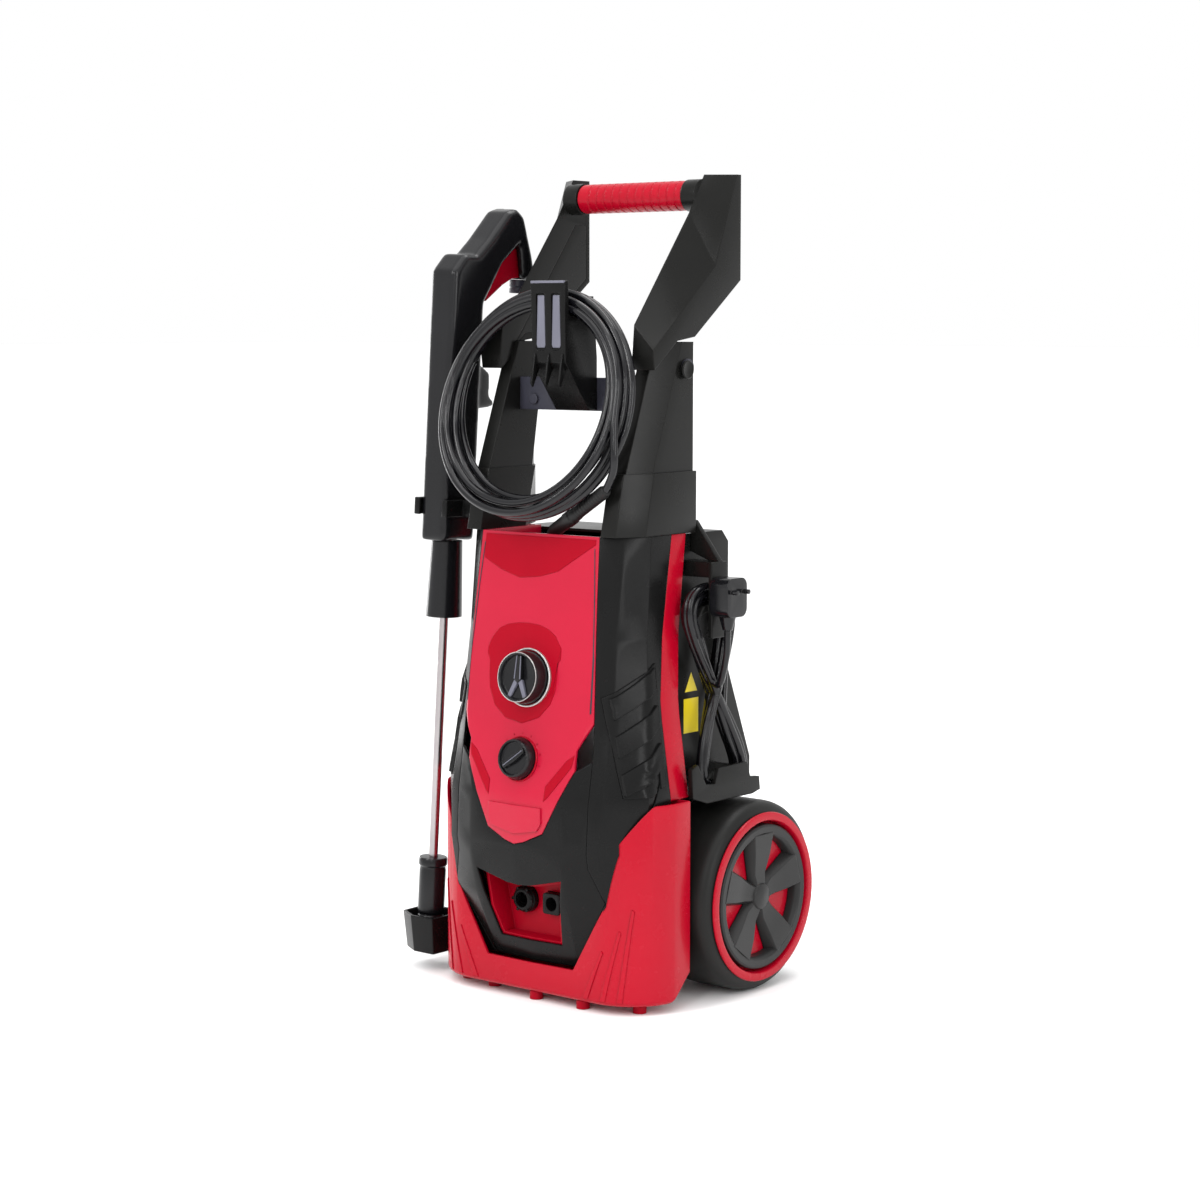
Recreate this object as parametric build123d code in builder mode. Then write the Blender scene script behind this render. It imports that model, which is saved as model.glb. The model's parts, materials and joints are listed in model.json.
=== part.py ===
"""Upright electric pressure washer on two wheels, with its gun and lance, hose and mains cable.

Millimetres, +Z up. The front faces -Y. While it is drawn, X = 0 is the machine's middle plane and Y = 0 the
wheel axle. Each finished piece is moved so that the origin is the middle of the footprint, on the floor.
"""

import math
import os

from build123d import *

os.makedirs("parts", exist_ok=True)

# ---------------------------------------------------------------- driving dimensions
FOOTPRINT_X = -19.0  # middle of the footprint, from the middle plane
FOOTPRINT_Y = -59.0  # middle of the footprint, from the axle
WALL = 3.0  # thickness of the plastic shells
TYRE_R = 100.0
WHEEL_IN, WHEEL_OUT = 88.0, 162.0  # the tyre's inner and outer side
AXLE_Z = TYRE_R
AXLE_R = 6.0
RUNNING = 0.06  # radial clearance of what turns
GAP = 0.3  # between neighbouring pieces

BASE_HALF = 147.0
BASE_REAR, BASE_FRONT = -104.0, -183.0
BASE_BOTTOM, BASE_TOP = 9.0, 214.0
BASE_CORNER = 62.0

BODY_TOP = 482.0
DECK_FLOOR = 469.0  # the tray between the columns
REAR_HALF = 105.0
COLUMN_IN, COLUMN_OUT = 82.0, 112.0
COLUMN_TOP = 676.0
COLLAR_LOW, COLLAR_HIGH = 482.05, 545.0

ARM_IN, ARM_OUT = 87.0, 114.0
GRIP_Y, GRIP_Z, GRIP_R = -5.0, 826.0, 15.5
GRIP_HALF = 69.0

PANEL_SLOPE = 7.6  # degrees from vertical, upper part of the front panel
PLATE_SLOPE = 12.0  # degrees from vertical, lower part
MAIN_KNOB = (-183.0, 336.0, 28.4)  # panel face y, z and knob radius
SMALL_KNOB = (-197.5, 254.0, 22.0)

MOTOR_Y = -68.0
MOTOR_R = 56.0
PUMP_LOW, PUMP_HIGH = 62.0, 176.0

LANCE_FOOT = Vector(-178, -135, 100)
LANCE_HEAD = Vector(-150, -120, 720)
COIL_CENTRE = Vector(-15, -157, 612)
COIL_R = 113.0
COIL_LEAN = 14.0  # degrees back from vertical

SOCKET_Z = 101.0
INLET_X, OUTLET_X = -20.0, 18.0
INLET_R, OUTLET_R = 8.0, 7.0  # bores
INLET_SEAT, SEAT_R = 22.0, 7.0  # the inlet's bore narrows at this depth, where the filter sits

PARTS = []


def save(part, name):
    """Moves a piece to the footprint's origin, labels it and writes its STEP file."""
    piece = part.moved(Location((-FOOTPRINT_X, -FOOTPRINT_Y, 0)))
    piece.label = name
    export_step(piece, f"parts/{name}.step")
    PARTS.append(name)


def pair(right):
    """A right-hand piece together with its mirror image in the middle plane."""
    with BuildPart() as made:
        add(right)
        mirror(about=Plane.YZ)
    return made.part


def largest(part):
    """The one real piece of a cut that also left slivers."""
    return max(part.solids(), key=lambda solid: solid.volume)


# ---------------------------------------------------------------- shared shapes
def face_on(plane, points, radius=0.0, inset=0.0):
    """A polygon on a plane, its corners rounded, drawn smaller by the inset."""
    with BuildSketch(plane) as drawn:
        with BuildLine():
            Polyline(*points, close=True)
        make_face()
        if inset:
            offset(amount=-inset, kind=Kind.INTERSECTION)
        if radius:
            fillet(drawn.vertices(), radius)
    return drawn.sketch


def prism(plane, points, depth, radius=0.0, both=False):
    """A solid with a polygon outline."""
    with BuildPart() as made:
        extrude(face_on(plane, points, radius), amount=depth, both=both)
    return made.part


def tower(sections, inset=0.0, radius=0.0):
    """A straight-sided loft through (height, outline) sections, drawn smaller by the inset."""
    with BuildPart() as made:
        for height, points in sections:
            add(face_on(Plane.XY.offset(height), points, radius, inset))
        loft(ruled=True)
    return made.part


def rod(plane, radius, length, bore=0.0):
    """A round bar or tube that stands on a plane."""
    with BuildPart() as made:
        with BuildSketch(plane):
            Circle(radius)
            if bore:
                Circle(bore, mode=Mode.SUBTRACT)
        extrude(amount=length)
    return made.part


def turned(profile, plane=Plane.XZ):
    """A solid of revolution: (radius, height) points turned about the plane's second axis."""
    with BuildPart() as made:
        with BuildSketch(plane):
            with BuildLine():
                Polyline(*profile, close=True)
            make_face()
        revolve(axis=Axis(plane.origin, plane.y_dir))
    return made.part


def both_sides(half):
    """The full outline of a shape that is the same left and right."""
    mirrored = [(-x, y) for x, y in reversed(half) if x > 0]
    return list(half) + mirrored


def side_plane(x):
    """A plane across the machine at x, with Y and Z as its own axes."""
    return Plane(origin=(x, 0, 0), x_dir=(0, 1, 0), z_dir=(1, 0, 0))


def front_plane(y):
    """A plane that faces the front at y, with X and Z as its own axes."""
    return Plane(origin=(0, y, 0), x_dir=(1, 0, 0), z_dir=(0, -1, 0))


def side_at(point):
    """A plane at a point, facing the right side."""
    return Plane(origin=point, x_dir=(0, 1, 0), z_dir=(1, 0, 0))


def front_at(point):
    """A plane at a point, facing the front."""
    return Plane(origin=point, x_dir=(1, 0, 0), z_dir=(0, -1, 0))


def between(start, end):
    """A plane at one point that faces another."""
    return Plane(origin=start, z_dir=Vector(end) - Vector(start))


def panel_plane(y, z, slope):
    """A plane on the sloping front panel, facing outwards."""
    tilt = math.radians(slope)
    return Plane(origin=(0, y, z), x_dir=(1, 0, 0), z_dir=(0, -math.cos(tilt), math.sin(tilt)))


# ---------------------------------------------------------------- front body envelope
BODY_REAR = -64.0
BODY_LEVELS = [
    # height, front y, (x, y) of the front corner, the shoulder and the side
    (40, -174, (54, -171), (84, -160), (98, -130)),
    (112, -199, (62, -196), (98, -183), (124, -150)),
    (165, -208, (60, -206), (98, -193), (131, -155)),
    (216, -206, (60, -203), (100, -189), (133, -155)),
    (296, -189, (80, -187), (100, -172), (121, -142)),
    (380, -178, (81, -176), (97, -162), (113, -132)),
    (BODY_TOP, -165, (78, -164), (98, -150), (112, -124)),
]


def body_sections(rear):
    """Plan outlines of the front body at each level, closed at a rear plane."""
    made = []
    for height, front, corner, shoulder, side in BODY_LEVELS:
        half = [(0, front), corner, shoulder, side, (side[0], rear)]
        made.append((height, both_sides(half)))
    return made


body_solid = tower(body_sections(BODY_REAR))
body_room = tower(body_sections(BODY_REAR + 10), inset=WALL)
with BuildPart() as body_wall:
    add(body_solid)
    add(body_room, mode=Mode.SUBTRACT)

# ---------------------------------------------------------------- lower housing (base)
def base_block(low, high, inset):
    """The base's outline, with large front corners, between two heights."""
    with BuildPart() as made:
        with BuildSketch(Plane.XY.offset(low)) as plan:
            with Locations((0, (BASE_FRONT + BASE_REAR) / 2)):
                Rectangle(2 * BASE_HALF, BASE_REAR - BASE_FRONT)
            fillet(plan.vertices().group_by(Axis.Y)[0], BASE_CORNER)
            if inset:
                offset(amount=-inset, kind=Kind.INTERSECTION)
        extrude(amount=high - low)
    return made.part


def heel(shift):
    """What the sloped heel at the base's rear bottom edge leaves out."""
    return prism(side_plane(0), [(BASE_REAR + 5, -5), (BASE_REAR + 5, 43 + shift), (BASE_REAR - 43 - shift, -5)],
                 2 * BASE_HALF, both=True)


with BuildPart() as base_room:
    add(base_block(BASE_BOTTOM + WALL, BASE_TOP + 10, WALL))
    add(heel(1.5 * WALL), mode=Mode.SUBTRACT)
with BuildPart() as lower_housing:
    add(base_block(BASE_BOTTOM, BASE_TOP, 0))
    fillet(lower_housing.faces().sort_by(Axis.Z)[-1].edges().sort_by(Axis.Y)[:-1], 2.0)
    fillet(lower_housing.faces().sort_by(Axis.Z)[0].edges().sort_by(Axis.Y)[:-1], 6.0)
    add(heel(0), mode=Mode.SUBTRACT)
    add(base_room.part, mode=Mode.SUBTRACT)
    add(body_solid, mode=Mode.SUBTRACT)
    opening = both_sides([(0, 40), (57.5, 40.5), (100, 115), (101, 160), (126, 196), (140, 217), (140, 230), (0, 230)])
    add(prism(front_plane(-230), opening, -112), mode=Mode.SUBTRACT)
    with Locations((0, BASE_REAR, 115)):
        Box(166, 12, 206, mode=Mode.SUBTRACT)
save(largest(lower_housing.part), "lower_housing")

with BuildPart() as feet:
    with Locations((-69, -158, 0), (0, -172, 0), (62, -172, 0), (118, -150, 0), (-112, -150, 0)):
        Cylinder(7, BASE_BOTTOM - 0.1, align=(Align.CENTER, Align.CENTER, Align.MIN))
    with Locations((-64, 20, 0), (64, 20, 0)):
        Cylinder(9, 28.6, align=(Align.CENTER, Align.CENTER, Align.MIN))
save(feet.part, "feet")

# ---------------------------------------------------------------- front panel, trim, covers and strips
panel_outline = both_sides([(0, 168), (12, 171), (36, 182), (70, 248), (70, 268), (85, 296), (77, BODY_TOP),
                            (0, BODY_TOP)])
trim_lower = both_sides([(0, 40.5), (57, 41), (99, 115), (86, 150), (86, 258), (70.5, 247.5), (36.3, 181.4),
                         (12.2, 170.4), (0, 167.4)])
window_outline = both_sides([(0, 63), (41, 63), (56, 135), (15, 125), (0, 124)])
FRONT_DEPTH = 100.0  # how far the cutting prisms run from the nose
NOSE = front_plane(-220)


def front_cut(points):
    """A prism that runs back through the front body."""
    return prism(NOSE, points, -FRONT_DEPTH)


MAIN_PLANE = panel_plane(MAIN_KNOB[0], MAIN_KNOB[1], PANEL_SLOPE)
SMALL_PLANE = panel_plane(SMALL_KNOB[0], SMALL_KNOB[1], PLATE_SLOPE)
SHAFT_R = 5.0

TRAY_HALF = 75.0
with BuildPart() as deck:  # the panel folds back over the top, with a tray sunk between the columns
    add(body_room)
    with Locations((0, -133, (BODY_TOP + DECK_FLOOR - WALL) / 2)):
        Box(4 * BASE_HALF, 120, BODY_TOP - DECK_FLOOR + WALL, mode=Mode.INTERSECT)
    with Locations((0, -140, DECK_FLOOR)):
        Box(2 * TRAY_HALF, 160, 40, align=(Align.CENTER, Align.CENTER, Align.MIN), mode=Mode.SUBTRACT)
    for side in (-1, 1):
        with Locations((side * (TRAY_HALF + WALL + 30), -140, BODY_TOP - WALL)):
            Box(60, 200, 40, align=(Align.CENTER, Align.CENTER, Align.MAX), mode=Mode.SUBTRACT)

with BuildPart() as front_panel:
    add(body_wall.part)
    add(front_cut(panel_outline), mode=Mode.INTERSECT)
    add(deck.part)
    for plane in (MAIN_PLANE, SMALL_PLANE):
        add(rod(plane.offset(-20), SHAFT_R + RUNNING, 40), mode=Mode.SUBTRACT)
save(front_panel.part, "front_panel")

with BuildPart() as front_trim:
    add(body_wall.part)
    add(front_cut(trim_lower), mode=Mode.INTERSECT)
    add(front_cut(window_outline), mode=Mode.SUBTRACT)
save(front_trim.part, "front_trim")

# Red tray behind the window, with a round water inlet and a square outlet through its back wall.
RECESS_Y = -158.0
with BuildPart() as socket_recess:
    add(prism(front_plane(RECESS_Y), window_outline, 30))
    add(prism(front_plane(RECESS_Y - WALL), both_sides([(0, 66), (38, 66), (52, 131), (15, 122), (0, 121)]), 60),
        mode=Mode.SUBTRACT)
    add(body_room, mode=Mode.INTERSECT)
    with BuildSketch(front_plane(RECESS_Y + 20)) as holes:
        with Locations((INLET_X, SOCKET_Z)):
            Circle(14.2)
        with Locations((OUTLET_X, SOCKET_Z)):
            Rectangle(22.4, 22.4)
    extrude(amount=60, mode=Mode.SUBTRACT)
save(largest(socket_recess.part), "socket_recess")

STRIP_FRONT = [(-90, 500), (-90, 483), (-117.7, 316), (-118, 214)]
STRIP_REAR = [(-88.5, 214), (-88, 316), (-66, 486), (-66, 500)]
strip_outline = STRIP_FRONT + STRIP_REAR
behind_cover = [(-91, 501), (-90.5, 483), (-118, 316), (-118.5, 213), (-118.5, 30), (-20, 30), (-20, 501)]
side_half = [(200, 30), (200, 501), (77.5, 501), (77.5, 478), (85.6, 296), (86.5, 258), (86.5, 150), (99.6, 115),
             (57.5, 41), (57.5, 30)]

with BuildPart() as side_cover:
    add(body_wall.part)
    add(prism(front_plane(-230), side_half, -145), mode=Mode.INTERSECT)
    add(prism(side_plane(0), behind_cover, 200), mode=Mode.SUBTRACT)
    for rib in range(4):  # the gills: slanted grooves along the flank
        low, high = 168 + 34 * rib, 240 + 34 * rib
        groove = [(-176, low), (-128, high), (-128, high + 5), (-176, low + 5)]
        add(prism(side_plane(126), groove, 20), mode=Mode.SUBTRACT)
save(pair(largest(side_cover.part)), "side_covers")

with BuildPart() as side_strip:
    add(body_wall.part)
    add(prism(side_plane(90), strip_outline, 60), mode=Mode.INTERSECT)
save(pair(side_strip.part), "side_strips")

# ---------------------------------------------------------------- rear housing and chassis
REAR_TOP = [(-72, 480), (6, 480), (17, 468), (17, 335), (58, 235), (58, 214), (-96, 214), (-96, 440), (-72, 462)]
REAR_LOW = [(-100, 216), (58, 216), (60, 70), (36, 32), (-100, 14)]
REAR_LOW_HALF = 82.0


def rear_block(inset):
    """The rear housing's outer or inner form: a wide upper box on a narrower one between the wheels."""
    with BuildPart() as made:
        extrude(face_on(side_plane(0), REAR_TOP, 0, inset), amount=REAR_HALF - inset, both=True)
        extrude(face_on(side_plane(0), REAR_LOW, 0, inset), amount=REAR_LOW_HALF - inset, both=True)
    return made.part


VENT_ROWS, VENT_PITCH = 6, 14.0
RELIEF = side_at((REAR_HALF, -2, 390))  # where the mains cable leaves the housing
RELIEF_R, RELIEF_REACH = 5.0, 11.0
with BuildPart() as rear_housing:
    add(rear_block(0))
    add(rear_block(WALL), mode=Mode.SUBTRACT)
    with Locations((0, -90, 347)):
        Box(2 * REAR_HALF - 2 * WALL, 42, 260, mode=Mode.SUBTRACT)
    with Locations((0, -100, 118)):
        Box(2 * REAR_LOW_HALF - 2 * WALL, 12, 190, mode=Mode.SUBTRACT)
    with BuildSketch(front_plane(40)) as vents:
        with Locations((0, 410)):
            with GridLocations(0, VENT_PITCH, 1, VENT_ROWS):
                SlotOverall(90, 5)
    extrude(amount=60, mode=Mode.SUBTRACT)
    with Locations(Location((0, 0, AXLE_Z), (0, 90, 0))):
        Cylinder(AXLE_R + RUNNING, 240, mode=Mode.SUBTRACT)
    add(rod(RELIEF.offset(-12), RELIEF_R + RUNNING, 24), mode=Mode.SUBTRACT)
    with Locations((0, -25, 215)):
        Box(2 * REAR_LOW_HALF - 2 * WALL, 160, 12, mode=Mode.SUBTRACT)
save(rear_housing.part, "rear_housing")

with BuildPart() as chassis:
    with Locations((0, -40, 34)):
        Box(150, 110, 4, align=(Align.CENTER, Align.CENTER, Align.MIN))
    for side in (-1, 1):
        with Locations((side * 66, 0, 38)):
            Box(10, 34, 80, align=(Align.CENTER, Align.CENTER, Align.MIN))
    with Locations(Location((0, 0, AXLE_Z), (0, 90, 0))):
        Cylinder(AXLE_R + RUNNING, 200, mode=Mode.SUBTRACT)
save(chassis.part, "chassis_plate")

# ---------------------------------------------------------------- columns, collars and handle
def column_outline(front, inner_rear):
    """Plan of one column: rounded at its front outer corner, cut away at its inner rear corner."""
    rear = -55.0
    return [(COLUMN_IN, front), (COLUMN_OUT - 14, front), (COLUMN_OUT, front + 26), (COLUMN_OUT, rear),
            (COLUMN_OUT - 12, rear), (COLUMN_IN, inner_rear)]


COLUMN_LEVELS = [(COLLAR_LOW, column_outline(-162, -96)), (540, column_outline(-150, -80)),
                 (COLUMN_TOP, column_outline(-100, -57))]
with BuildPart() as column:
    add(tower(COLUMN_LEVELS))
    add(tower(COLUMN_LEVELS, inset=WALL), mode=Mode.SUBTRACT)
save(pair(column.part), "columns")


def grown(points, amount):
    """A column outline pushed outwards on every side."""
    (x0, y0), (x1, y1), (x2, y2), (x3, y3), (x4, y4), (x5, y5) = points
    return [(x0 - amount, y0 - amount), (x1, y1 - amount), (x2 + amount, y2), (x3 + amount, y3 + amount),
            (x4, y4 + amount), (x5 - amount, y5 + amount)]


with BuildPart() as collar:
    lower, upper = grown(column_outline(-163, -96), 2.6), grown(column_outline(-149, -80), 2.6)
    add(tower([(COLLAR_LOW, lower), (COLLAR_HIGH, upper)]))
    add(tower([(height, grown(outline, 0.1)) for height, outline in COLUMN_LEVELS]), mode=Mode.SUBTRACT)
save(pair(collar.part), "collars")

ARM_INNER = [(24, 847), (24, 739), (-55, 681), (-84, 677), (-122, 648), (-124, 662), (-121, 693), (-30, 807),
             (-4, 847)]
ARM_OUTER = [(24, 847), (24, 739), (-55, 681), (-84, 677), (-122, 648), (-124, 662), (-124, 668), (-20, 753),
             (17, 847)]
TUBE_R = 11.0
POCKET = [(18, 800), (18, 742), (-54, 688), (-84, 684), (-108, 664), (-22, 772), (0, 800)]
COLLAR_R = GRIP_R + 1.0
with BuildPart() as handle_arm:
    add(face_on(side_plane(ARM_IN), ARM_INNER))
    add(face_on(side_plane(ARM_OUT), ARM_OUTER))
    loft(ruled=True)
    add(rod(side_at((GRIP_HALF + GAP, GRIP_Y, GRIP_Z)), COLLAR_R, ARM_IN - GRIP_HALF))
    add(rod(side_at((0, GRIP_Y, GRIP_Z)), TUBE_R, ARM_IN), mode=Mode.SUBTRACT)
    add(prism(side_plane(ARM_IN), POCKET, 14), mode=Mode.SUBTRACT)
with BuildPart() as arm_pieces:  # each arm and the plate that closes its hollow
    add(handle_arm.part)
    extrude(face_on(side_plane(ARM_IN), POCKET, 0, GAP), amount=WALL)
    add(tower([(height, grown(outline, 0.1)) for height, outline in COLUMN_LEVELS]), mode=Mode.SUBTRACT)
save(pair(arm_pieces.part), "handle_arms")

grip_axis = Plane(origin=(0, GRIP_Y, GRIP_Z), x_dir=(0, 1, 0), z_dir=(1, 0, 0))
save(rod(grip_axis.offset(0.5 - ARM_IN), TUBE_R, 2 * ARM_IN - 1, TUBE_R - 1.5), "handle_tube")

RIB_COUNT = 11
with BuildPart() as grip:
    add(rod(grip_axis.offset(-GRIP_HALF), GRIP_R, 2 * GRIP_HALF, TUBE_R))
    for rib in range(RIB_COUNT):
        place = (rib - (RIB_COUNT - 1) / 2) * 10.5
        add(rod(grip_axis.offset(place - 1.0), GRIP_R + 1, 2.0, GRIP_R - 1.2), mode=Mode.SUBTRACT)
save(grip.part, "handle_grip")

# ---------------------------------------------------------------- cross bar and hose hook
with BuildPart() as cross_bar:
    with Locations((0, -92, 622)):
        Box(2 * COLUMN_IN - 0.4, 14, 34)
    with BuildSketch(front_plane(-80)) as bosses:
        with Locations((-62, 616), (-34, 616), (34, 616), (62, 616)):
            Circle(3.0)
    extrude(amount=20, mode=Mode.SUBTRACT)
save(cross_bar.part, "cross_bar")

with BuildPart() as handle_screws:  # through the cross bar, and dome heads on the columns' outer sides
    for x in (-62, -34, 34, 62):
        add(rod(front_at((x, -99, 616)), 5.5, 2.2))
        add(rod(front_at((x, -86, 616)), 2.9, 13))
    for side in (-1, 1):
        dome = Plane(origin=(side * (COLUMN_OUT + 0.05), -66, 650), x_dir=(0, 1, 0), z_dir=(side, 0, 0))
        add(rod(dome, 9, 2.4))
save(handle_screws.part, "handle_screws")

HOOK_HALF = 22.0
HOOK_SIDE = [(-99.2, 606), (-112, 606), (-150, 655), (-152, 736), (-146, 738), (-144, 701), (-119, 701),
             (-113, 722), (-105, 722), (-99.2, 660)]
with BuildPart() as hose_hook:
    add(prism(side_plane(0), HOOK_SIDE, HOOK_HALF, both=True))
    with BuildSketch(front_plane(-149)) as channels:
        with Locations((-10, 696), (10, 696)):
            RectangleRounded(12, 58, 3)
    extrude(amount=20, mode=Mode.SUBTRACT)
save(hose_hook.part, "hose_hook")

# ---------------------------------------------------------------- cable hooks on the right side
HOOK_X = 138.0  # where the hooks' end plates begin
HOOK_ROOT = REAR_HALF + 0.05
UPPER_SADDLE = [(-78, 398), (-70, 408), (-50, 412), (-34, 408), (-26, 398), (-38, 402), (-50, 404), (-66, 402)]
with BuildPart() as cable_hook_upper:
    with Locations((HOOK_ROOT, -50, 445)):
        Box(HOOK_X - HOOK_ROOT, 22, 16, align=(Align.MIN, Align.CENTER, Align.CENTER))
    with Locations((HOOK_X, -50, 414)):
        Box(5, 26, 78, align=(Align.MIN, Align.CENTER, Align.CENTER))
    add(prism(side_plane(HOOK_X - 24), UPPER_SADDLE, 24))
    fin = [(HOOK_ROOT, 462), (HOOK_ROOT, 494), (HOOK_ROOT + 6, 494), (HOOK_X + 5, 453), (HOOK_X - 6, 452)]
    add(prism(front_plane(-44), fin, 6))
save(cable_hook_upper.part, "cable_hook_upper")

LOWER_SADDLE = [(-62, 230), (-54, 236), (-26, 240), (0, 236), (8, 230), (0, 229), (-26, 232), (-54, 229)]
with BuildPart() as cable_hook_lower:
    add(prism(side_plane(HOOK_ROOT), LOWER_SADDLE, HOOK_X - HOOK_ROOT))
    lip = [(-94, 214), (-96, 244), (-86, 248), (-72, 226), (-56, 224), (-50, 240), (0, 240), (6, 224), (22, 222),
           (24, 208), (10, 205), (-70, 206)]
    add(prism(side_plane(HOOK_X), lip, 5))
save(cable_hook_lower.part, "cable_hook_lower")

# ---------------------------------------------------------------- knobs and electrical box
def knob(plane, radius, height):
    """A round knob with a raised bar grip, on a shaft that runs through the panel."""
    with BuildPart() as made:
        add(rod(plane.offset(1.0), radius, height * 0.55))
        fillet(made.faces().sort_by(Axis(plane.origin, plane.z_dir))[-1].edges(), 2.0)
        add(rod(plane.offset(-16), SHAFT_R, 18))
        with BuildSketch(plane.offset(height * 0.5)):
            SlotOverall(radius * 1.7, radius * 0.36, rotation=50)
        extrude(amount=height * 0.5)
    return made.part


save(knob(MAIN_PLANE, MAIN_KNOB[2], 26), "main_switch_knob")
save(knob(SMALL_PLANE, SMALL_KNOB[2], 18), "pressure_knob")


with BuildPart() as switch_box:
    with Locations((0, -148, 336)):
        Box(60, 26, 56)
    add(rod(MAIN_PLANE.offset(-40), SHAFT_R + 4, 34), mode=Mode.SUBTRACT)
save(switch_box.part, "switch_box")
save(rod(Plane(origin=(-62, -150, 300), x_dir=(1, 0, 0), z_dir=(0, 0, 1)), 16, 74), "run_capacitor")

# ---------------------------------------------------------------- motor
motor_axis = Plane(origin=(0, MOTOR_Y, 0), x_dir=(1, 0, 0), z_dir=(0, 0, 1))
ROTOR_R = 30.0
SHAFT_MOTOR_R = 6.0
with BuildPart() as motor_housing:  # the shell with its end plates, and the wound stator inside it
    add(rod(motor_axis.offset(200), MOTOR_R, 168, MOTOR_R - 4))
    for end in (200, 363):
        add(rod(motor_axis.offset(end), MOTOR_R - 4, 5, 16))
    add(rod(motor_axis.offset(222), MOTOR_R - 4.1, 120, ROTOR_R + 0.6))
save(motor_housing.part, "motor_housing")
with BuildPart() as motor_rotor:
    add(rod(motor_axis.offset(182), SHAFT_MOTOR_R, 212))
    add(rod(motor_axis.offset(226), ROTOR_R, 112))
save(motor_rotor.part, "motor_rotor")
with BuildPart() as bearings:
    for height in (200, 359):
        add(rod(motor_axis.offset(height), 15.9, 9, SHAFT_MOTOR_R + 0.03))
save(bearings.part, "motor_bearings")
BLADES = 9
with BuildPart() as fan:
    add(rod(motor_axis.offset(374), 14, 14, SHAFT_MOTOR_R))
    add(rod(motor_axis.offset(374), 48, 2.5, 14))
    for blade in range(BLADES):
        angle = 360 * blade / BLADES
        spoke = Plane(origin=(0, MOTOR_Y, 376.5), x_dir=Vector(1, 0, 0).rotate(Axis.Z, angle), z_dir=(0, 0, 1))
        with BuildSketch(spoke):
            with Locations((30, 0)):
                Rectangle(34, 2.2)
        extrude(amount=11)
save(fan.part, "cooling_fan")

# ---------------------------------------------------------------- pump
PISTON_CIRCLE, PISTON_R = 22.0, 6.0
SWASH_TILT = 9.0


def around(radius, count, height, first=90.0):
    """Upright planes spaced evenly on a circle about the motor's axis."""
    made = []
    for index in range(count):
        angle = math.radians(first + 360 * index / count)
        place = (radius * math.cos(angle), MOTOR_Y + radius * math.sin(angle), height)
        made.append(Plane(origin=place, x_dir=(1, 0, 0), z_dir=(0, 0, 1)))
    return made


with BuildPart() as swash_plate:
    add(rod(motor_axis.offset(172), 30, 20))
    add(rod(motor_axis.offset(182), SHAFT_MOTOR_R, 20), mode=Mode.SUBTRACT)
    tilt = math.radians(SWASH_TILT)
    split(bisect_by=Plane(origin=(0, MOTOR_Y, 179), x_dir=(1, 0, 0), z_dir=(0, math.sin(tilt), math.cos(tilt))),
          keep=Keep.TOP)
save(swash_plate.part, "swash_plate")
with BuildPart() as pump_body:
    add(rod(motor_axis.offset(96), 40, 62))
    for x in (INLET_X, OUTLET_X):  # room for the head's two raised bosses
        with Locations((x, MOTOR_Y - 38, 94)):
            Box(20.6, 24.6, 26.6, mode=Mode.SUBTRACT)
    for place in around(PISTON_CIRCLE, 3, 110):
        add(rod(place, 10, 60), mode=Mode.SUBTRACT)
save(pump_body.part, "pump_body")
with BuildPart() as pistons:  # three pistons, each inside its return spring
    for place in around(PISTON_CIRCLE, 3, 111):
        add(rod(place, PISTON_R, 60))
        add(rod(place.offset(2), 9.6, 42, PISTON_R + 0.4))
save(pistons.part, "pistons")
with BuildPart() as pump_head:
    add(rod(motor_axis.offset(PUMP_LOW), 42, 33.9))
    for x in (INLET_X, OUTLET_X):
        with Locations((x, MOTOR_Y - 38, 94)):
            Box(20, 24, 26)
    add(rod(Plane(origin=(40, MOTOR_Y, 80), x_dir=(0, 1, 0), z_dir=(1, 0, 0)), 8, 24))  # bypass valve
    add(rod(front_at((INLET_X, MOTOR_Y - 49, SOCKET_Z)), SEAT_R - 0.1, 10))  # stubs towards the two sockets
    add(rod(front_at((OUTLET_X, MOTOR_Y - 49, SOCKET_Z)), 6, 20.9))
    for place in around(34, 4, PUMP_LOW - 10, 45):
        add(rod(place, 3.1, 60), mode=Mode.SUBTRACT)
save(pump_head.part, "pump_head")
with BuildPart() as pump_bolts:
    for place in around(34, 4, PUMP_LOW - 5, 45):
        add(rod(place, 5.5, 5))
        add(rod(place, 3.0, 38.8))
save(pump_bolts.part, "pump_bolts")

# ---------------------------------------------------------------- water sockets
inlet_axis = Plane(origin=(INLET_X, RECESS_Y - 14, SOCKET_Z), x_dir=(1, 0, 0), z_dir=(0, 1, 0))
with BuildPart() as water_inlet:
    add(rod(inlet_axis, 14, INLET_SEAT, INLET_R))
    add(rod(inlet_axis.offset(INLET_SEAT), 14, 34 - INLET_SEAT, SEAT_R))
    add(rod(inlet_axis.offset(32), 11, 18, SEAT_R))
save(water_inlet.part, "water_inlet")
save(rod(inlet_axis.offset(26), SEAT_R - 0.1, 16, 5), "inlet_filter")
outlet_axis = Plane(origin=(OUTLET_X, RECESS_Y - 12, SOCKET_Z), x_dir=(1, 0, 0), z_dir=(0, 1, 0))
with BuildPart() as pressure_outlet:
    with BuildSketch(outlet_axis):
        RectangleRounded(22, 22, 3)
    extrude(amount=32)
    add(rod(outlet_axis.offset(-1), OUTLET_R, 22), mode=Mode.SUBTRACT)
save(pressure_outlet.part, "pressure_outlet")

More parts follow.
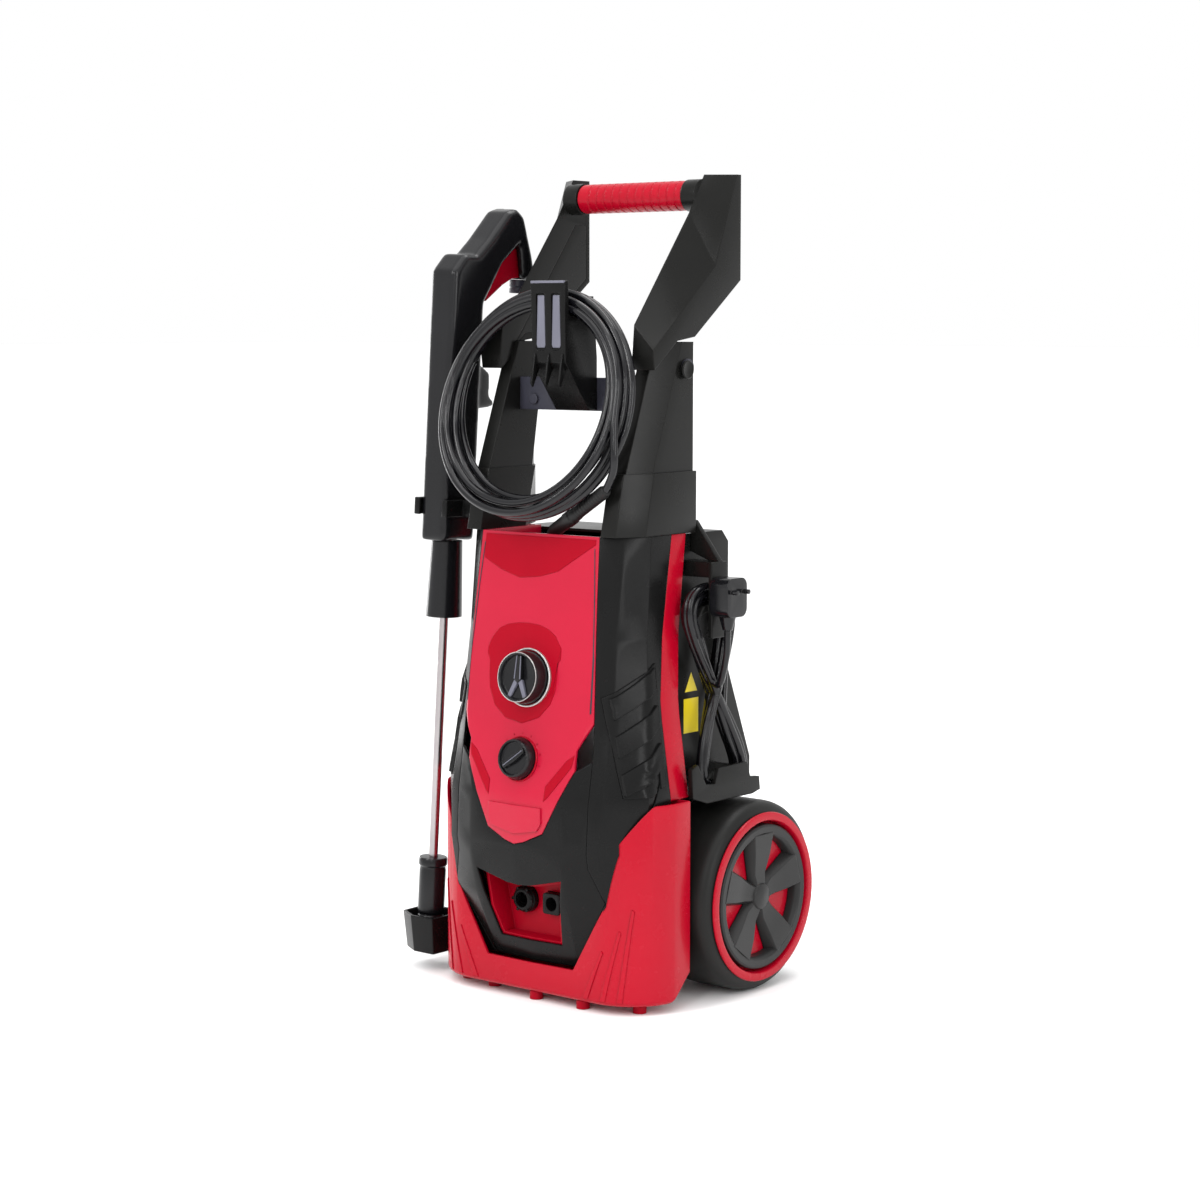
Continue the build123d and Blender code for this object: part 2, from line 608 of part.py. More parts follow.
# ---------------------------------------------------------------- wheels
SPOKES = 5
for side, word in ((1, "right"), (-1, "left")):
    plane = Plane(origin=(0, 0, AXLE_Z), x_dir=(0, 0, 1), z_dir=(0, side, 0))
    tyre = [(86, 90), (94, 88), (99, 94), (TYRE_R, 104), (TYRE_R, 148), (98, 156), (93, 161), (86, 163)]
    save(turned(tyre, plane), f"tyre_{word}")
    rim = [(AXLE_R + RUNNING, 90), (16, 90), (18, 146), (80, 146), (82, 92), (85.9, 92), (85.9, 163.2), (88, 163.2),
           (88, 166), (80, 167), (78, 152), (16.5, 152), (16, 158), (AXLE_R + RUNNING, 158)]
    save(turned(rim, plane), f"wheel_rim_{word}")
    face = Plane(origin=(side * 152.2, 0, AXLE_Z), x_dir=(0, 1, 0), z_dir=(side, 0, 0))
    with BuildPart() as cover:  # ring, five spokes and a boss that caps the axle
        add(rod(face, 76, 9, 64))
        add(rod(face, 24, 14, 17))
        add(rod(face.offset(10.4), 17, 3.6))
        for spoke in range(SPOKES):
            angle = 90 + 360 * spoke / SPOKES
            outward = Vector(0, math.cos(math.radians(angle)), math.sin(math.radians(angle)))
            place = Plane(origin=face.origin, x_dir=outward, z_dir=face.z_dir)
            add(prism(place, [(20, -13), (68, -8), (68, 8), (20, 13)], 10))
    save(cover.part, f"wheel_cover_{word}")

axle_end = Plane(origin=(-161.5, 0, AXLE_Z), x_dir=(0, 1, 0), z_dir=(1, 0, 0))
save(rod(axle_end, AXLE_R, 323), "axle")
with BuildPart() as axle_rings:  # a washer inside each wheel and a clip outside it
    for side in (-1, 1):
        for start, radius, thick in ((83, 13, 6), (158.8, 10, 1.8)):
            place = Plane(origin=(side * start, 0, AXLE_Z), x_dir=(0, 1, 0), z_dir=(side, 0, 0))
            add(rod(place, radius, thick, AXLE_R))
save(axle_rings.part, "axle_washers_and_clips")

# ---------------------------------------------------------------- gun and lance
lance_dir = (LANCE_HEAD - LANCE_FOOT).normalized()
LANCE = Plane(origin=LANCE_FOOT, x_dir=(1, 0, 0), z_dir=lance_dir)
GUN_SIDE = Plane(origin=LANCE_FOOT, x_dir=LANCE.y_dir, z_dir=LANCE.x_dir)
GUN_BASE = 365.0  # height of the foregrip's lower end, along the lance from its foot
GUN_HALF = 18.0
BARREL_HALF = 25.0
BODY_OUTLINE = [(-BARREL_HALF, GUN_BASE), (BARREL_HALF, GUN_BASE), (BARREL_HALF, 618), (36, 634), (52, 660),
                (80, 683), (88, 645), (108, 645), (100, 672), (84, 712), (72, 720), (58, 716), (30, 686),
                (10, 668), (-8, 668), (-BARREL_HALF, 650)]
HAND_STOP = [(BARREL_HALF - 4, 504), (54, 508), (54, 514), (47, 518), (45, 544), (BARREL_HALF - 4, 558)]
TRIGGER = [(40, 628), (52, 658), (80, 681), (90, 672), (98, 648), (78, 645), (64, 638), (38, 620)]
TRIGGER_PIVOT = (44, 640)
TRIGGER_TURN = 8.0


def gun_point(along, up, across=0.0):
    """A point of the gun from its own side view."""
    return GUN_SIDE.from_local_coords(Vector(along, up, across))


def gun_plane(point):
    """A plane across the gun at a point."""
    return Plane(origin=point, x_dir=GUN_SIDE.x_dir, z_dir=GUN_SIDE.z_dir)


def gun_half(sign):
    """One half shell of the gun, hollow and open at the middle."""
    with BuildPart() as made:
        extrude(face_on(GUN_SIDE.offset(sign * 0.05), BODY_OUTLINE), amount=sign * GUN_HALF)
        outer = made.faces().sort_by(Axis(GUN_SIDE.origin, GUN_SIDE.z_dir * sign))[-1]
        chamfer(outer.edges(), 4.0)
        extrude(face_on(GUN_SIDE.offset(sign * 0.05), HAND_STOP), amount=sign * 11)
        channel = [(-14, GUN_BASE), (14, GUN_BASE), (14, 560), (-14, 560)]
        add(prism(GUN_SIDE, channel, sign * 14.0), mode=Mode.SUBTRACT)
        slot = [(33, 612), (30, 640), (42, 666), (72, 692), (84, 690), (104, 668), (96, 640), (76, 630)]
        add(prism(GUN_SIDE, slot, sign * 6.6), mode=Mode.SUBTRACT)
        if sign < 0:  # the trigger turns on a pin moulded on the left half
            add(rod(gun_plane(gun_point(*TRIGGER_PIVOT, -7)), 2.5, 6.9))
    return made.part


with BuildPart() as gun_shells:
    add(gun_half(1))
    add(gun_half(-1))
save(gun_shells.part, "gun_shells")

with BuildPart() as trigger:
    add(prism(GUN_SIDE, TRIGGER, 6.0, both=True))
    add(rod(gun_plane(gun_point(*TRIGGER_PIVOT, -8)), 2.5 + RUNNING, 16), mode=Mode.SUBTRACT)
save(trigger.part, "trigger")

valve_axis = LANCE.offset(GUN_BASE + 60)
with BuildPart() as valve:  # the valve's body, and the spring that closes it
    add(rod(valve_axis, 11, 100, 4))
    add(rod(valve_axis.offset(-24), 9, 23.8, 6.5))
save(valve.part, "gun_valve")

INLET_END = Plane(origin=gun_point(97, 630), x_dir=GUN_SIDE.x_dir, z_dir=GUN_SIDE.y_dir)
GUN_INLET_R = 5.5
save(rod(INLET_END, 9.4, 14.8, GUN_INLET_R), "gun_inlet")

SLEEVE_LOW = 283.0
with BuildPart() as sleeve:
    with BuildSketch(LANCE.offset(SLEEVE_LOW)):
        Ellipse(18, 21)
    with BuildSketch(LANCE.offset(GUN_BASE - 0.2)):
        Ellipse(15, 18)
    loft()
    add(rod(LANCE.offset(SLEEVE_LOW - 5), 5.02, 100), mode=Mode.SUBTRACT)
save(sleeve.part, "bayonet_sleeve")
save(rod(LANCE.offset(10), 5.0, GUN_BASE + 20, 3.5), "lance_tube")

with BuildPart() as nozzle:
    add(rod(LANCE.offset(-75), 14.5, 91))
    add(rod(LANCE.offset(16), 15.5, 4))
    add(rod(LANCE.offset(9), 5.06, 20), mode=Mode.SUBTRACT)
    add(rod(LANCE.offset(-76), 3.0, 90), mode=Mode.SUBTRACT)
save(nozzle.part, "spray_nozzle")

CUP = [(-206, -112), (-206, -152), (-182, -166), (-151, -166), (-149, -118), (-149, -112)]
with BuildPart() as cup:
    add(tower([(20, [(x * 0.9 - 17, y * 0.9 - 13) for x, y in CUP]), (60, CUP)]))
    add(tower([(24, [(x * 0.9 - 17, y * 0.9 - 13) for x, y in CUP]), (61, CUP)], inset=WALL), mode=Mode.SUBTRACT)
    add(base_block(0, 300, 0), mode=Mode.SUBTRACT)
save(largest(cup.part), "lance_cup")

CLIP_HEIGHT = 392.0  # along the lance
with BuildPart() as clip:
    with BuildSketch(LANCE.offset(CLIP_HEIGHT)) as ring:
        Rectangle(2 * GUN_HALF + 10, 2 * BARREL_HALF + 8)
        Rectangle(2 * GUN_HALF + 1.2, 2 * BARREL_HALF + 1.2, mode=Mode.SUBTRACT)
        with Locations((0, -BARREL_HALF)):
            Rectangle(2 * GUN_HALF - 4, 30, mode=Mode.SUBTRACT)
        with Locations((GUN_HALF + 21, 4)):
            Rectangle(34, 14)
    extrude(amount=18)
    add(mirror(tower([(COLLAR_LOW, lower), (COLLAR_HIGH, upper)]), about=Plane.YZ), mode=Mode.SUBTRACT)
save(largest(clip.part), "gun_clip")

# ---------------------------------------------------------------- cords
def corner_radii(points):
    """The arc at each corner of a route: 0.45 of the shorter run over the tangent of half the turn."""
    made = []
    for before, corner, after in zip(points, points[1:], points[2:]):
        first, second = Vector(corner) - Vector(before), Vector(after) - Vector(corner)
        half_turn = math.radians(first.get_angle(second) / 2)
        made.append(0.45 * min(first.length, second.length) / math.tan(half_turn))
    return made


def cord_tube(name, points, radius):
    """A plain tube of straight runs joined by tangent arcs."""
    radii = corner_radii(points)
    with BuildPart() as made:
        with BuildLine() as path:
            FilletPolyline(*points, radius=radii)
        with BuildSketch(between(points[0], points[1])):
            Circle(radius)
        sweep()
    length = sum(edge.length for edge in path.edges())
    print(name, "radii", [round(value) for value in radii], "length", round(length),
          "volume ratio", round(made.part.volume / (math.pi * radius**2 * length), 4))
    save(made.part, name)


# High-pressure hose: a coil on the hook, a loose end that drops onto the deck, and a fitting at each end.
HOSE_R = 4.25
COIL_UP = Vector(0, math.sin(math.radians(COIL_LEAN)), math.cos(math.radians(COIL_LEAN)))
COIL = Plane(origin=COIL_CENTRE, x_dir=(1, 0, 0), z_dir=Vector(1, 0, 0).cross(COIL_UP))
COIL_HALF, COIL_THICK = 13.0, 16.0
with BuildPart() as hose_coil:
    with BuildSketch(COIL.offset(-COIL_THICK / 2)):
        Circle(COIL_R + COIL_HALF)
        Circle(COIL_R - COIL_HALF, mode=Mode.SUBTRACT)
    extrude(amount=COIL_THICK)
    chamfer(hose_coil.edges().filter_by(GeomType.CIRCLE), 4.0)
save(hose_coil.part, "hose_coil")
HOSE_TAIL = [(108, -163, 596), (109, -170, 572), (105, -173, 547), (89, -169.5, 529)]
cord_tube("hose_tail", HOSE_TAIL, HOSE_R)
with BuildPart() as hose_fitting:  # bend protector, and the coupling at its end
    fitting = between(HOSE_TAIL[-1], (1, -147, 481.5))
    add(rod(fitting, 7.4, 98))
    add(rod(fitting.offset(62), 8.2, 10))
    add(rod(fitting.offset(98), 5.2, 6))
save(hose_fitting.part, "hose_fitting")

# Mains cable: out of the housing's side, onto a hank on the two hooks, and up to the plug on the upper hook.
CABLE_R = 3.5
HANK_IN, HANK_OUT = 117.0, 137.0
HANK_OUTLINE = [(-100, 418), (-88, 433), (-16, 433), (-4, 418), (-10, 370), (-22, 318), (0, 262), (20, 230),
                (12, 209), (-62, 209), (-72, 228), (-72, 270), (-68, 316), (-84, 352)]
UPPER_WINDOW = [(-80, 396), (-72, 412), (-50, 415), (-32, 412), (-24, 396), (-46, 340), (-52, 340)]
LOWER_WINDOW = [(-64, 228), (-64, 238), (-44, 290), (-38, 290), (10, 238), (10, 228)]
with BuildPart() as cable_hank:
    add(prism(side_plane(HANK_IN), HANK_OUTLINE, HANK_OUT - HANK_IN, 5.0))
    for window in (UPPER_WINDOW, LOWER_WINDOW):
        add(prism(side_plane(HANK_IN), window, HANK_OUT - HANK_IN), mode=Mode.SUBTRACT)
save(cable_hank.part, "cable_hank")

with BuildPart() as strain_relief:  # elbow: a stub through the side wall and a sleeve that points down
    add(rod(RELIEF.offset(-12), RELIEF_R, 12 + RELIEF_REACH))
    elbow = RELIEF.offset(RELIEF_REACH).origin
    add(rod(Plane(origin=elbow - (0, 0, 34), z_dir=(0, 0, 1)), RELIEF_R + 0.6, 40.5))
save(strain_relief.part, "strain_relief")
cord_tube("cable_run_housing", [tuple(elbow - (0, 0, 34)), tuple(elbow - (0, 1, 58)), tuple(elbow - (-4, 9, 82)),
                                tuple(elbow - (-9, 16, 104))], CABLE_R)
PLUG_X, PLUG_Y, PLUG_Z = 156.0, -54.0, 418.0
cord_tube("cable_run_plug", [(PLUG_X, PLUG_Y, PLUG_Z - 34), (PLUG_X, PLUG_Y, PLUG_Z - 60),
                             (PLUG_X - 9, PLUG_Y + 3, PLUG_Z - 84), (PLUG_X - 22, PLUG_Y + 7, PLUG_Z - 106)],
          CABLE_R)
PIN_PITCH = 19.0
with BuildPart() as plug:
    with Locations((PLUG_X, PLUG_Y, PLUG_Z)):
        Box(24, 34, 40)
    fillet(plug.edges().filter_by(Axis.X), 9)
    fillet(plug.faces().sort_by(Axis.X)[0].edges(), 3)
    with BuildSketch(Plane.XY.offset(PLUG_Z - 34)):
        with Locations((PLUG_X, PLUG_Y)):
            Circle(5)
    with BuildSketch(Plane.XY.offset(PLUG_Z - 19)):
        with Locations((PLUG_X, PLUG_Y)):
            Circle(9)
    loft()
    for offset_y in (-PIN_PITCH / 2, PIN_PITCH / 2):
        add(rod(side_at((PLUG_X + 12, PLUG_Y + offset_y, PLUG_Z + 6)), 2.4, 8))
save(plug.part, "mains_plug")

print(len(PARTS), "pieces")
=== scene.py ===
"""Looks of an upright electric pressure washer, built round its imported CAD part. Metres, +Z up."""

import json
import math

import bmesh
import bpy
from mathutils import Matrix, Vector
from mathutils.bvhtree import BVHTree


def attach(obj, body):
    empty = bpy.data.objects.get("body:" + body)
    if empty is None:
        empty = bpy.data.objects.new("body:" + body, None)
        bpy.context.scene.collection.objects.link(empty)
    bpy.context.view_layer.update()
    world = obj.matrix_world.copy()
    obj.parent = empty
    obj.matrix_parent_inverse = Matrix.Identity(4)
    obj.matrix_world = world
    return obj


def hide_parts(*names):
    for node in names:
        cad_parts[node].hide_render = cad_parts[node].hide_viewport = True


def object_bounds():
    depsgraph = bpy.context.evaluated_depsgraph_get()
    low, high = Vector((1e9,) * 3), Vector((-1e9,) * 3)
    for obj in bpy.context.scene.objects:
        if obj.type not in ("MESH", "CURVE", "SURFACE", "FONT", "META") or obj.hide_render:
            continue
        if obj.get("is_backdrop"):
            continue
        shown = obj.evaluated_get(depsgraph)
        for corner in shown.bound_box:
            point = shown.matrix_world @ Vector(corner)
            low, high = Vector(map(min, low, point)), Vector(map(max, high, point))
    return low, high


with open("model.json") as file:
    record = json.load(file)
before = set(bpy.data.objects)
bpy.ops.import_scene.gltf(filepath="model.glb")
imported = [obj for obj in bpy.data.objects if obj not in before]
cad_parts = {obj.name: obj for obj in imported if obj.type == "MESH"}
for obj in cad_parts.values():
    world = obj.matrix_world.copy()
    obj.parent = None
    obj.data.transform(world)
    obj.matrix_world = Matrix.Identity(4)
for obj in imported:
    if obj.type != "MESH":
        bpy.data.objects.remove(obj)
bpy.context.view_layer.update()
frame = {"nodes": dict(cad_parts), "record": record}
NODES = frame["nodes"]
SCENE = bpy.context.scene
OX, OY = 0.019, 0.059  # from the machine's middle plane and axle to the frame's origin


def at(x, y, z):
    """A point in millimetres from the middle plane, the axle and the floor."""
    return Vector((x / 1000 + OX, y / 1000 + OY, z / 1000))


# ---------------------------------------------------------------- materials
EDGE = 0.0016  # how far the light rolls over a moulded edge
RAMP_STOPS = (0.35, 0.65)  # where a colour ramp's two ends sit
COLOUR_SCALE, GLOSS_SCALE, WAVE_SCALE = 9, 35, 14  # patches of a moulding per metre


class Shader:
    """A small builder for node materials."""

    def __init__(self, name):
        self.mat = bpy.data.materials.new(name)
        self.mat.use_nodes = True
        self.tree = self.mat.node_tree
        self.bsdf = self.tree.nodes["Principled BSDF"]
        self.coords = self.tree.nodes.new("ShaderNodeTexCoord").outputs["Object"]
        self.round = self.node("ShaderNodeBevel", samples=4, Radius=EDGE)

    def node(self, kind, **values):
        """A new node, with each value set on its input or property of that name."""
        made = self.tree.nodes.new(kind)
        for key, value in values.items():
            if key in made.inputs:
                made.inputs[key].default_value = value
            else:
                setattr(made, key, value)
        return made

    def link(self, out, to):
        self.tree.links.new(out, to)

    def noise(self, scale, detail=3.0, rough=0.5):
        """A noise in the object's own coordinates."""
        made = self.node("ShaderNodeTexNoise", Scale=scale, Detail=detail, Roughness=rough)
        self.link(self.coords, made.inputs["Vector"])
        return made.outputs["Fac"]

    def ramp(self, fac, low, high):
        """A colour that runs from low to high with fac."""
        made = self.node("ShaderNodeValToRGB")
        for stop, position, colour in zip(made.color_ramp.elements, RAMP_STOPS, (low, high)):
            stop.position, stop.color = position, colour
        self.link(fac, made.inputs["Fac"])
        return made.outputs["Color"]

    def between(self, fac, low, high):
        """A value that runs from low to high with fac."""
        made = self.node("ShaderNodeMapRange")
        made.inputs["To Min"].default_value, made.inputs["To Max"].default_value = low, high
        self.link(fac, made.inputs["Value"])
        return made.outputs["Result"]

    def bump(self, height, strength, distance, under=None):
        """A bumped normal, on top of another one or of the rounded edges."""
        made = self.node("ShaderNodeBump", Strength=strength, Distance=distance)
        self.link(height, made.inputs["Height"])
        self.link(under or self.round.outputs["Normal"], made.inputs["Normal"])
        return made.outputs["Normal"]


def shade(colour, gain):
    """A colour made lighter or darker, as an opaque node value."""
    return tuple(min(1.0, v * gain) for v in colour) + (1.0,)


def moulded(name, colour, rough, grain, depth, spec=0.5, coat=0.0, wander=0.12):
    """Moulded plastic or rubber: a fine spark-eroded grain, slow colour wander and uneven gloss."""
    s = Shader(name)
    tint = s.ramp(s.noise(COLOUR_SCALE, 4), shade(colour, 1 - wander), shade(colour, 1 + wander))
    s.link(tint, s.bsdf.inputs["Base Color"])
    s.link(s.between(s.noise(GLOSS_SCALE, 5, 0.6), rough - 0.05, rough + 0.06), s.bsdf.inputs["Roughness"])
    waves = s.bump(s.noise(WAVE_SCALE, 2), 0.08, 0.001)
    s.link(s.bump(s.noise(grain, 4, 0.6), 0.35, depth, waves), s.bsdf.inputs["Normal"])
    s.bsdf.inputs["Specular IOR Level"].default_value = spec
    s.bsdf.inputs["Coat Weight"].default_value = coat
    s.bsdf.inputs["Coat Roughness"].default_value = 0.08
    return s.mat


def metal(name, colour, rough, streaks=(400, 400, 12)):
    """Drawn or plated metal with fine streaks along Z."""
    s = Shader(name)
    mapped = s.node("ShaderNodeMapping", Scale=streaks)
    s.link(s.coords, mapped.inputs["Vector"])
    fine = s.node("ShaderNodeTexNoise", Scale=1.0, Detail=3.0)
    s.link(mapped.outputs["Vector"], fine.inputs["Vector"])
    s.link(s.ramp(s.noise(20, 3), shade(colour, 0.9), shade(colour, 1.06)), s.bsdf.inputs["Base Color"])
    s.link(s.between(fine.outputs["Fac"], rough, rough + 0.1), s.bsdf.inputs["Roughness"])
    s.link(s.bump(fine.outputs["Fac"], 0.1, 0.0002), s.bsdf.inputs["Normal"])
    s.bsdf.inputs["Metallic"].default_value = 1.0
    return s.mat


BLACK = moulded("black_moulded", (0.005, 0.005, 0.005), 0.26, 1400, 0.00006, 0.14)
GUNBLACK = moulded("gun_moulded", (0.0055, 0.0055, 0.0065), 0.22, 1100, 0.00005, 0.3)
CHARCOAL = moulded("charcoal_moulded", (0.007, 0.007, 0.0065), 0.28, 1200, 0.00006, 0.15)
# A lighter bluish grey: on the cross bar it is painted sheen on black plastic, and on the panel's side lines
# it is painted highlight.
BLUISH = moulded("bluish_moulded", (0.03, 0.03, 0.042), 0.35, 1200, 0.0001, 0.3)
RED = moulded("red_gloss", (0.37, 0.001, 0.013), 0.26, 900, 0.00001, 0.14, 0.1, 0.05)
# The front panel's red: lighter and pinker than the base's red, a painted sheen.
PANEL_RED_PAINTED_SHEEN = moulded("red_panel_painted_sheen", (0.41, 0.004, 0.026), 0.24, 900, 0.00001, 0.2, 0.2, 0.04)
# A darker red: on the switch recess, the socket recess and the panel's facets its darkness is painted shade;
# the dial's ticks are marks of this colour.
RED_DARK = moulded("red_recess", (0.3, 0.0006, 0.01), 0.34, 900, 0.00001, 0.08, 0.0, 0.06)
GREY = moulded("wheel_grey", (0.019, 0.019, 0.019), 0.34, 1100, 0.0001, 0.2)
TYRE = moulded("tyre_rubber", (0.009, 0.009, 0.0085), 0.42, 700, 0.0002, 0.18)
RUBBER = moulded("soft_rubber", (0.007, 0.007, 0.007), 0.45, 800, 0.0002, 0.25)
HOSE = moulded("hose_jacket", (0.003, 0.003, 0.0042), 0.12, 500, 0.00001, 0.4, 0.0)
CABLE = moulded("cable_jacket", (0.004, 0.004, 0.005), 0.16, 600, 0.00001, 0.36, 0.0)
YELLOW = moulded("label_yellow", (0.78, 0.6, 0.008), 0.35, 600, 0.00002, 0.4, 0.1, 0.04)
# Pale bluish grey: the own colour of the switch's lines and legs and of the pressure bar's mark; on the black
# hose hook's channels and lip it is painted highlight.
PALE = moulded("grey_marks_and_painted_highlight", (0.12, 0.12, 0.155), 0.3, 900, 0.00004, 0.4)
CAN = moulded("capacitor_shell", (0.5, 0.5, 0.48), 0.45, 600, 0.0001, 0.4)
# The lance's chrome: its faint pink tint is a painted reflection of the red body.
CHROME = metal("chrome_tube", (0.4, 0.37, 0.375), 0.2)
STEEL = metal("bright_steel", (0.6, 0.6, 0.62), 0.25)
ZINC = metal("zinc_plate", (0.55, 0.56, 0.55), 0.38, (60, 60, 60))
CAST = metal("cast_aluminium", (0.52, 0.52, 0.53), 0.5, (500, 500, 500))


# ---------------------------------------------------------------- making pieces
BODY_OF = {n: b for b, ns in frame["record"]["behaviour"]["bodies"].items() for n in ns}
SHARP = math.radians(24)  # an edge sharper than this is rounded
FLAT = math.radians(0.05)  # faces that differ by less are one face
TINY = 0.01  # mm, in place of a radius of nothing


def finish_piece(obj, mat, body, angle):
    """Gives a mesh object its material, smooth shading up to an angle in degrees, and body."""
    SCENE.collection.objects.link(obj)
    obj.data.materials.clear()
    obj.data.materials.append(mat)
    obj.data.shade_smooth()
    obj.data.set_sharp_from_angle(angle=math.radians(angle))
    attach(obj, body)
    return obj


def from_bmesh(name, bm, mat, body, angle=32):
    """Turns a bmesh into a finished piece."""
    bm.normal_update()
    mesh = bpy.data.meshes.new(name)
    bm.to_mesh(mesh)
    bm.free()
    return finish_piece(bpy.data.objects.new(name, mesh), mat, body, angle)


def soft_edges(bm, width, segments):
    """Rounds every sharp edge by a width in metres."""
    sharp = [e for e in bm.edges if len(e.link_faces) == 2 and e.calc_face_angle(0) > SHARP]
    bmesh.ops.bevel(bm, geom=sharp, offset=width, segments=segments, profile=0.6, affect="EDGES",
                    clamp_overlap=True)


def softened(node, width, mat, segments):
    """A CAD node's shape with its edges rounded as a mould rounds them, in place of the plain node."""
    bm = bmesh.new()
    bm.from_mesh(NODES[node].data)
    bmesh.ops.remove_doubles(bm, verts=bm.verts, dist=2e-6)
    bmesh.ops.dissolve_limit(bm, angle_limit=FLAT, verts=bm.verts, edges=bm.edges)
    soft_edges(bm, width, segments)
    obj = from_bmesh(f"{node}_shell", bm, mat, BODY_OF[node])
    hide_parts(node)
    return obj


def basis(origin, axis, first=None):
    """A placing matrix whose Z is the axis."""
    z = Vector(axis).normalized()
    spare = (1, 0, 0) if abs(z.x) < 0.9 else (0, 1, 0)
    x = Vector(first or spare)
    x = (x - z * x.dot(z)).normalized()
    y = z.cross(x)
    made = Matrix((x, y, z)).transposed().to_4x4()
    made.translation = Vector(origin)
    return made


def lathe(name, profile, place, mat, body, steps):
    """Turns a closed (radius, height) profile in millimetres about the place's Z, in a number of steps."""
    bm = bmesh.new()
    rings = []
    for step in range(steps):
        turn = 2 * math.pi * step / steps
        rings.append([bm.verts.new((r * math.cos(turn) / 1000, r * math.sin(turn) / 1000, h / 1000))
                      for r, h in profile])
    count = len(profile)
    for step in range(steps):
        a, b = rings[step], rings[(step + 1) % steps]
        for i in range(count):
            j = (i + 1) % count
            bm.faces.new((a[i], b[i], b[j], a[j]))
    bmesh.ops.remove_doubles(bm, verts=bm.verts, dist=1e-6)
    bmesh.ops.recalc_face_normals(bm, faces=bm.faces)
    bm.transform(place)
    return from_bmesh(name, bm, mat, body)


def raised(place, height):
    """A place moved along its own Z by a height in millimetres."""
    return place @ Matrix.Translation((0, 0, height / 1000))


def plate(name, outline, depth, place, mat, body, soft=0.0004, segments=2):
    """A flat outline in millimetres, thickened along the place's Z, with soft edges."""
    bm = bmesh.new()
    face = bm.faces.new([bm.verts.new((x / 1000, y / 1000, 0)) for x, y in outline])
    out = bmesh.ops.extrude_face_region(bm, geom=[face])
    top = [g for g in out["geom"] if isinstance(g, bmesh.types.BMVert)]
    bmesh.ops.translate(bm, verts=top, vec=(0, 0, depth / 1000))
    bmesh.ops.recalc_face_normals(bm, faces=bm.faces)
    if soft:
        soft_edges(bm, soft, segments)
    bm.transform(place)
    return from_bmesh(name, bm, mat, body)


def cord_line(name, points, radius, mat, body, fineness):
    """A cord as a round tube through the given points. A higher fineness makes its section rounder."""
    curve = bpy.data.curves.new(name, "CURVE")
    curve.dimensions = "3D"
    curve.bevel_depth = 1.0  # the points carry the radius, so the curve's own bounds stay tight
    curve.bevel_resolution = fineness
    curve.use_fill_caps = True
    spline = curve.splines.new("NURBS")
    spline.points.add(len(points) - 1)
    for point, where in zip(spline.points, points):
        point.co, point.radius = (*where, 1.0), radius
    spline.order_u = 3
    spline.use_endpoint_u = True
    spline.resolution_u = 6
    obj = bpy.data.objects.new(name, curve)
    SCENE.collection.objects.link(obj)
    curve.materials.append(mat)
    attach(obj, body)
    return obj


# ---------------------------------------------------------------- camera
AZIMUTH, DOWN = math.radians(38.64), math.radians(6.12)
camera = bpy.data.objects.new("camera", bpy.data.cameras.new("camera"))
SCENE.collection.objects.link(camera)
camera.location = at(1691, -2182, 696)
camera.rotation_euler = (math.pi / 2 - DOWN, 0, AZIMUTH)
camera.data.lens = 77.8
camera.data.sensor_width = 36
SCENE.camera = camera

# ---------------------------------------------------------------- cords
HOSE_D, CABLE_D = 0.008, 0.007
COIL_CENTRE = (-15, -157, 612)
LEAN = math.radians(14.0)
# One row for each turn: the radius and depth in the hook, how far each changes at the coil's foot, a wobble.
HOSE_TURNS = [
    (105, 7.6, -15, 0, 1.5), (113.2, 7.6, -9, 2, -2), (121.4, 7.4, 3, -3, 2), (121.4, 0, -8, 4, 2.5),
    (113.2, 0, 5, -5, -2), (105, 0, -13, -5, 2), (105.6, -7.4, 13, -6, -2), (113.2, -7.6, 0, -7, 2.5),
    (121.4, -7.4, 4, -3, 0),
]
HOSE_START, PER_TURN, TURNS = 84.0, 20, 7.26


def coil_point(turn):
    """A point of the hose, a number of turns along the coil."""
    low = min(int(turn), len(HOSE_TURNS) - 2)
    radius, depth, wider, deeper, wobble = (a + (b - a) * (turn - low)
                                            for a, b in zip(HOSE_TURNS[low], HOSE_TURNS[low + 1]))
    angle = math.radians(HOSE_START - 360 * turn)
    below = (1 - math.sin(angle)) / 2  # 0 in the hook, 1 at the foot
    radius += below * wider + wobble * math.sin(2 * angle + low) * min(1.0, 2 * below)
    depth += below * deeper
    x, z = radius * math.cos(angle), radius * math.sin(angle)
    return at(COIL_CENTRE[0] + x, COIL_CENTRE[1] + z * math.sin(LEAN) + depth * math.cos(LEAN),
              COIL_CENTRE[2] + z * math.cos(LEAN) - depth * math.sin(LEAN))


coil_points = [coil_point(i / PER_TURN) for i in range(int(TURNS * PER_TURN) + 1)]
HOSE_LOOSE_END = at(89, -169.5, 529)
tail_points = [at(102.5, -173.5, 582), at(104.5, -175, 563), at(102, -173, 545), HOSE_LOOSE_END]
hose = cord_line("hose_line", coil_points + tail_points, HOSE_D / 2, HOSE, "machine", 5)
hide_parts("hose_coil", "hose_tail")

HANK_LAP = [(-90, 398), (-84, 420), (-64, 428), (-38, 428), (-17, 420), (-11, 396), (-18, 360), (-36, 322),
            (-54, 290), (-64, 258), (-66, 230), (-54, 215), (-28, 213), (0, 214), (13, 224), (8, 250),
            (-12, 282), (-38, 314), (-62, 346), (-80, 374)]
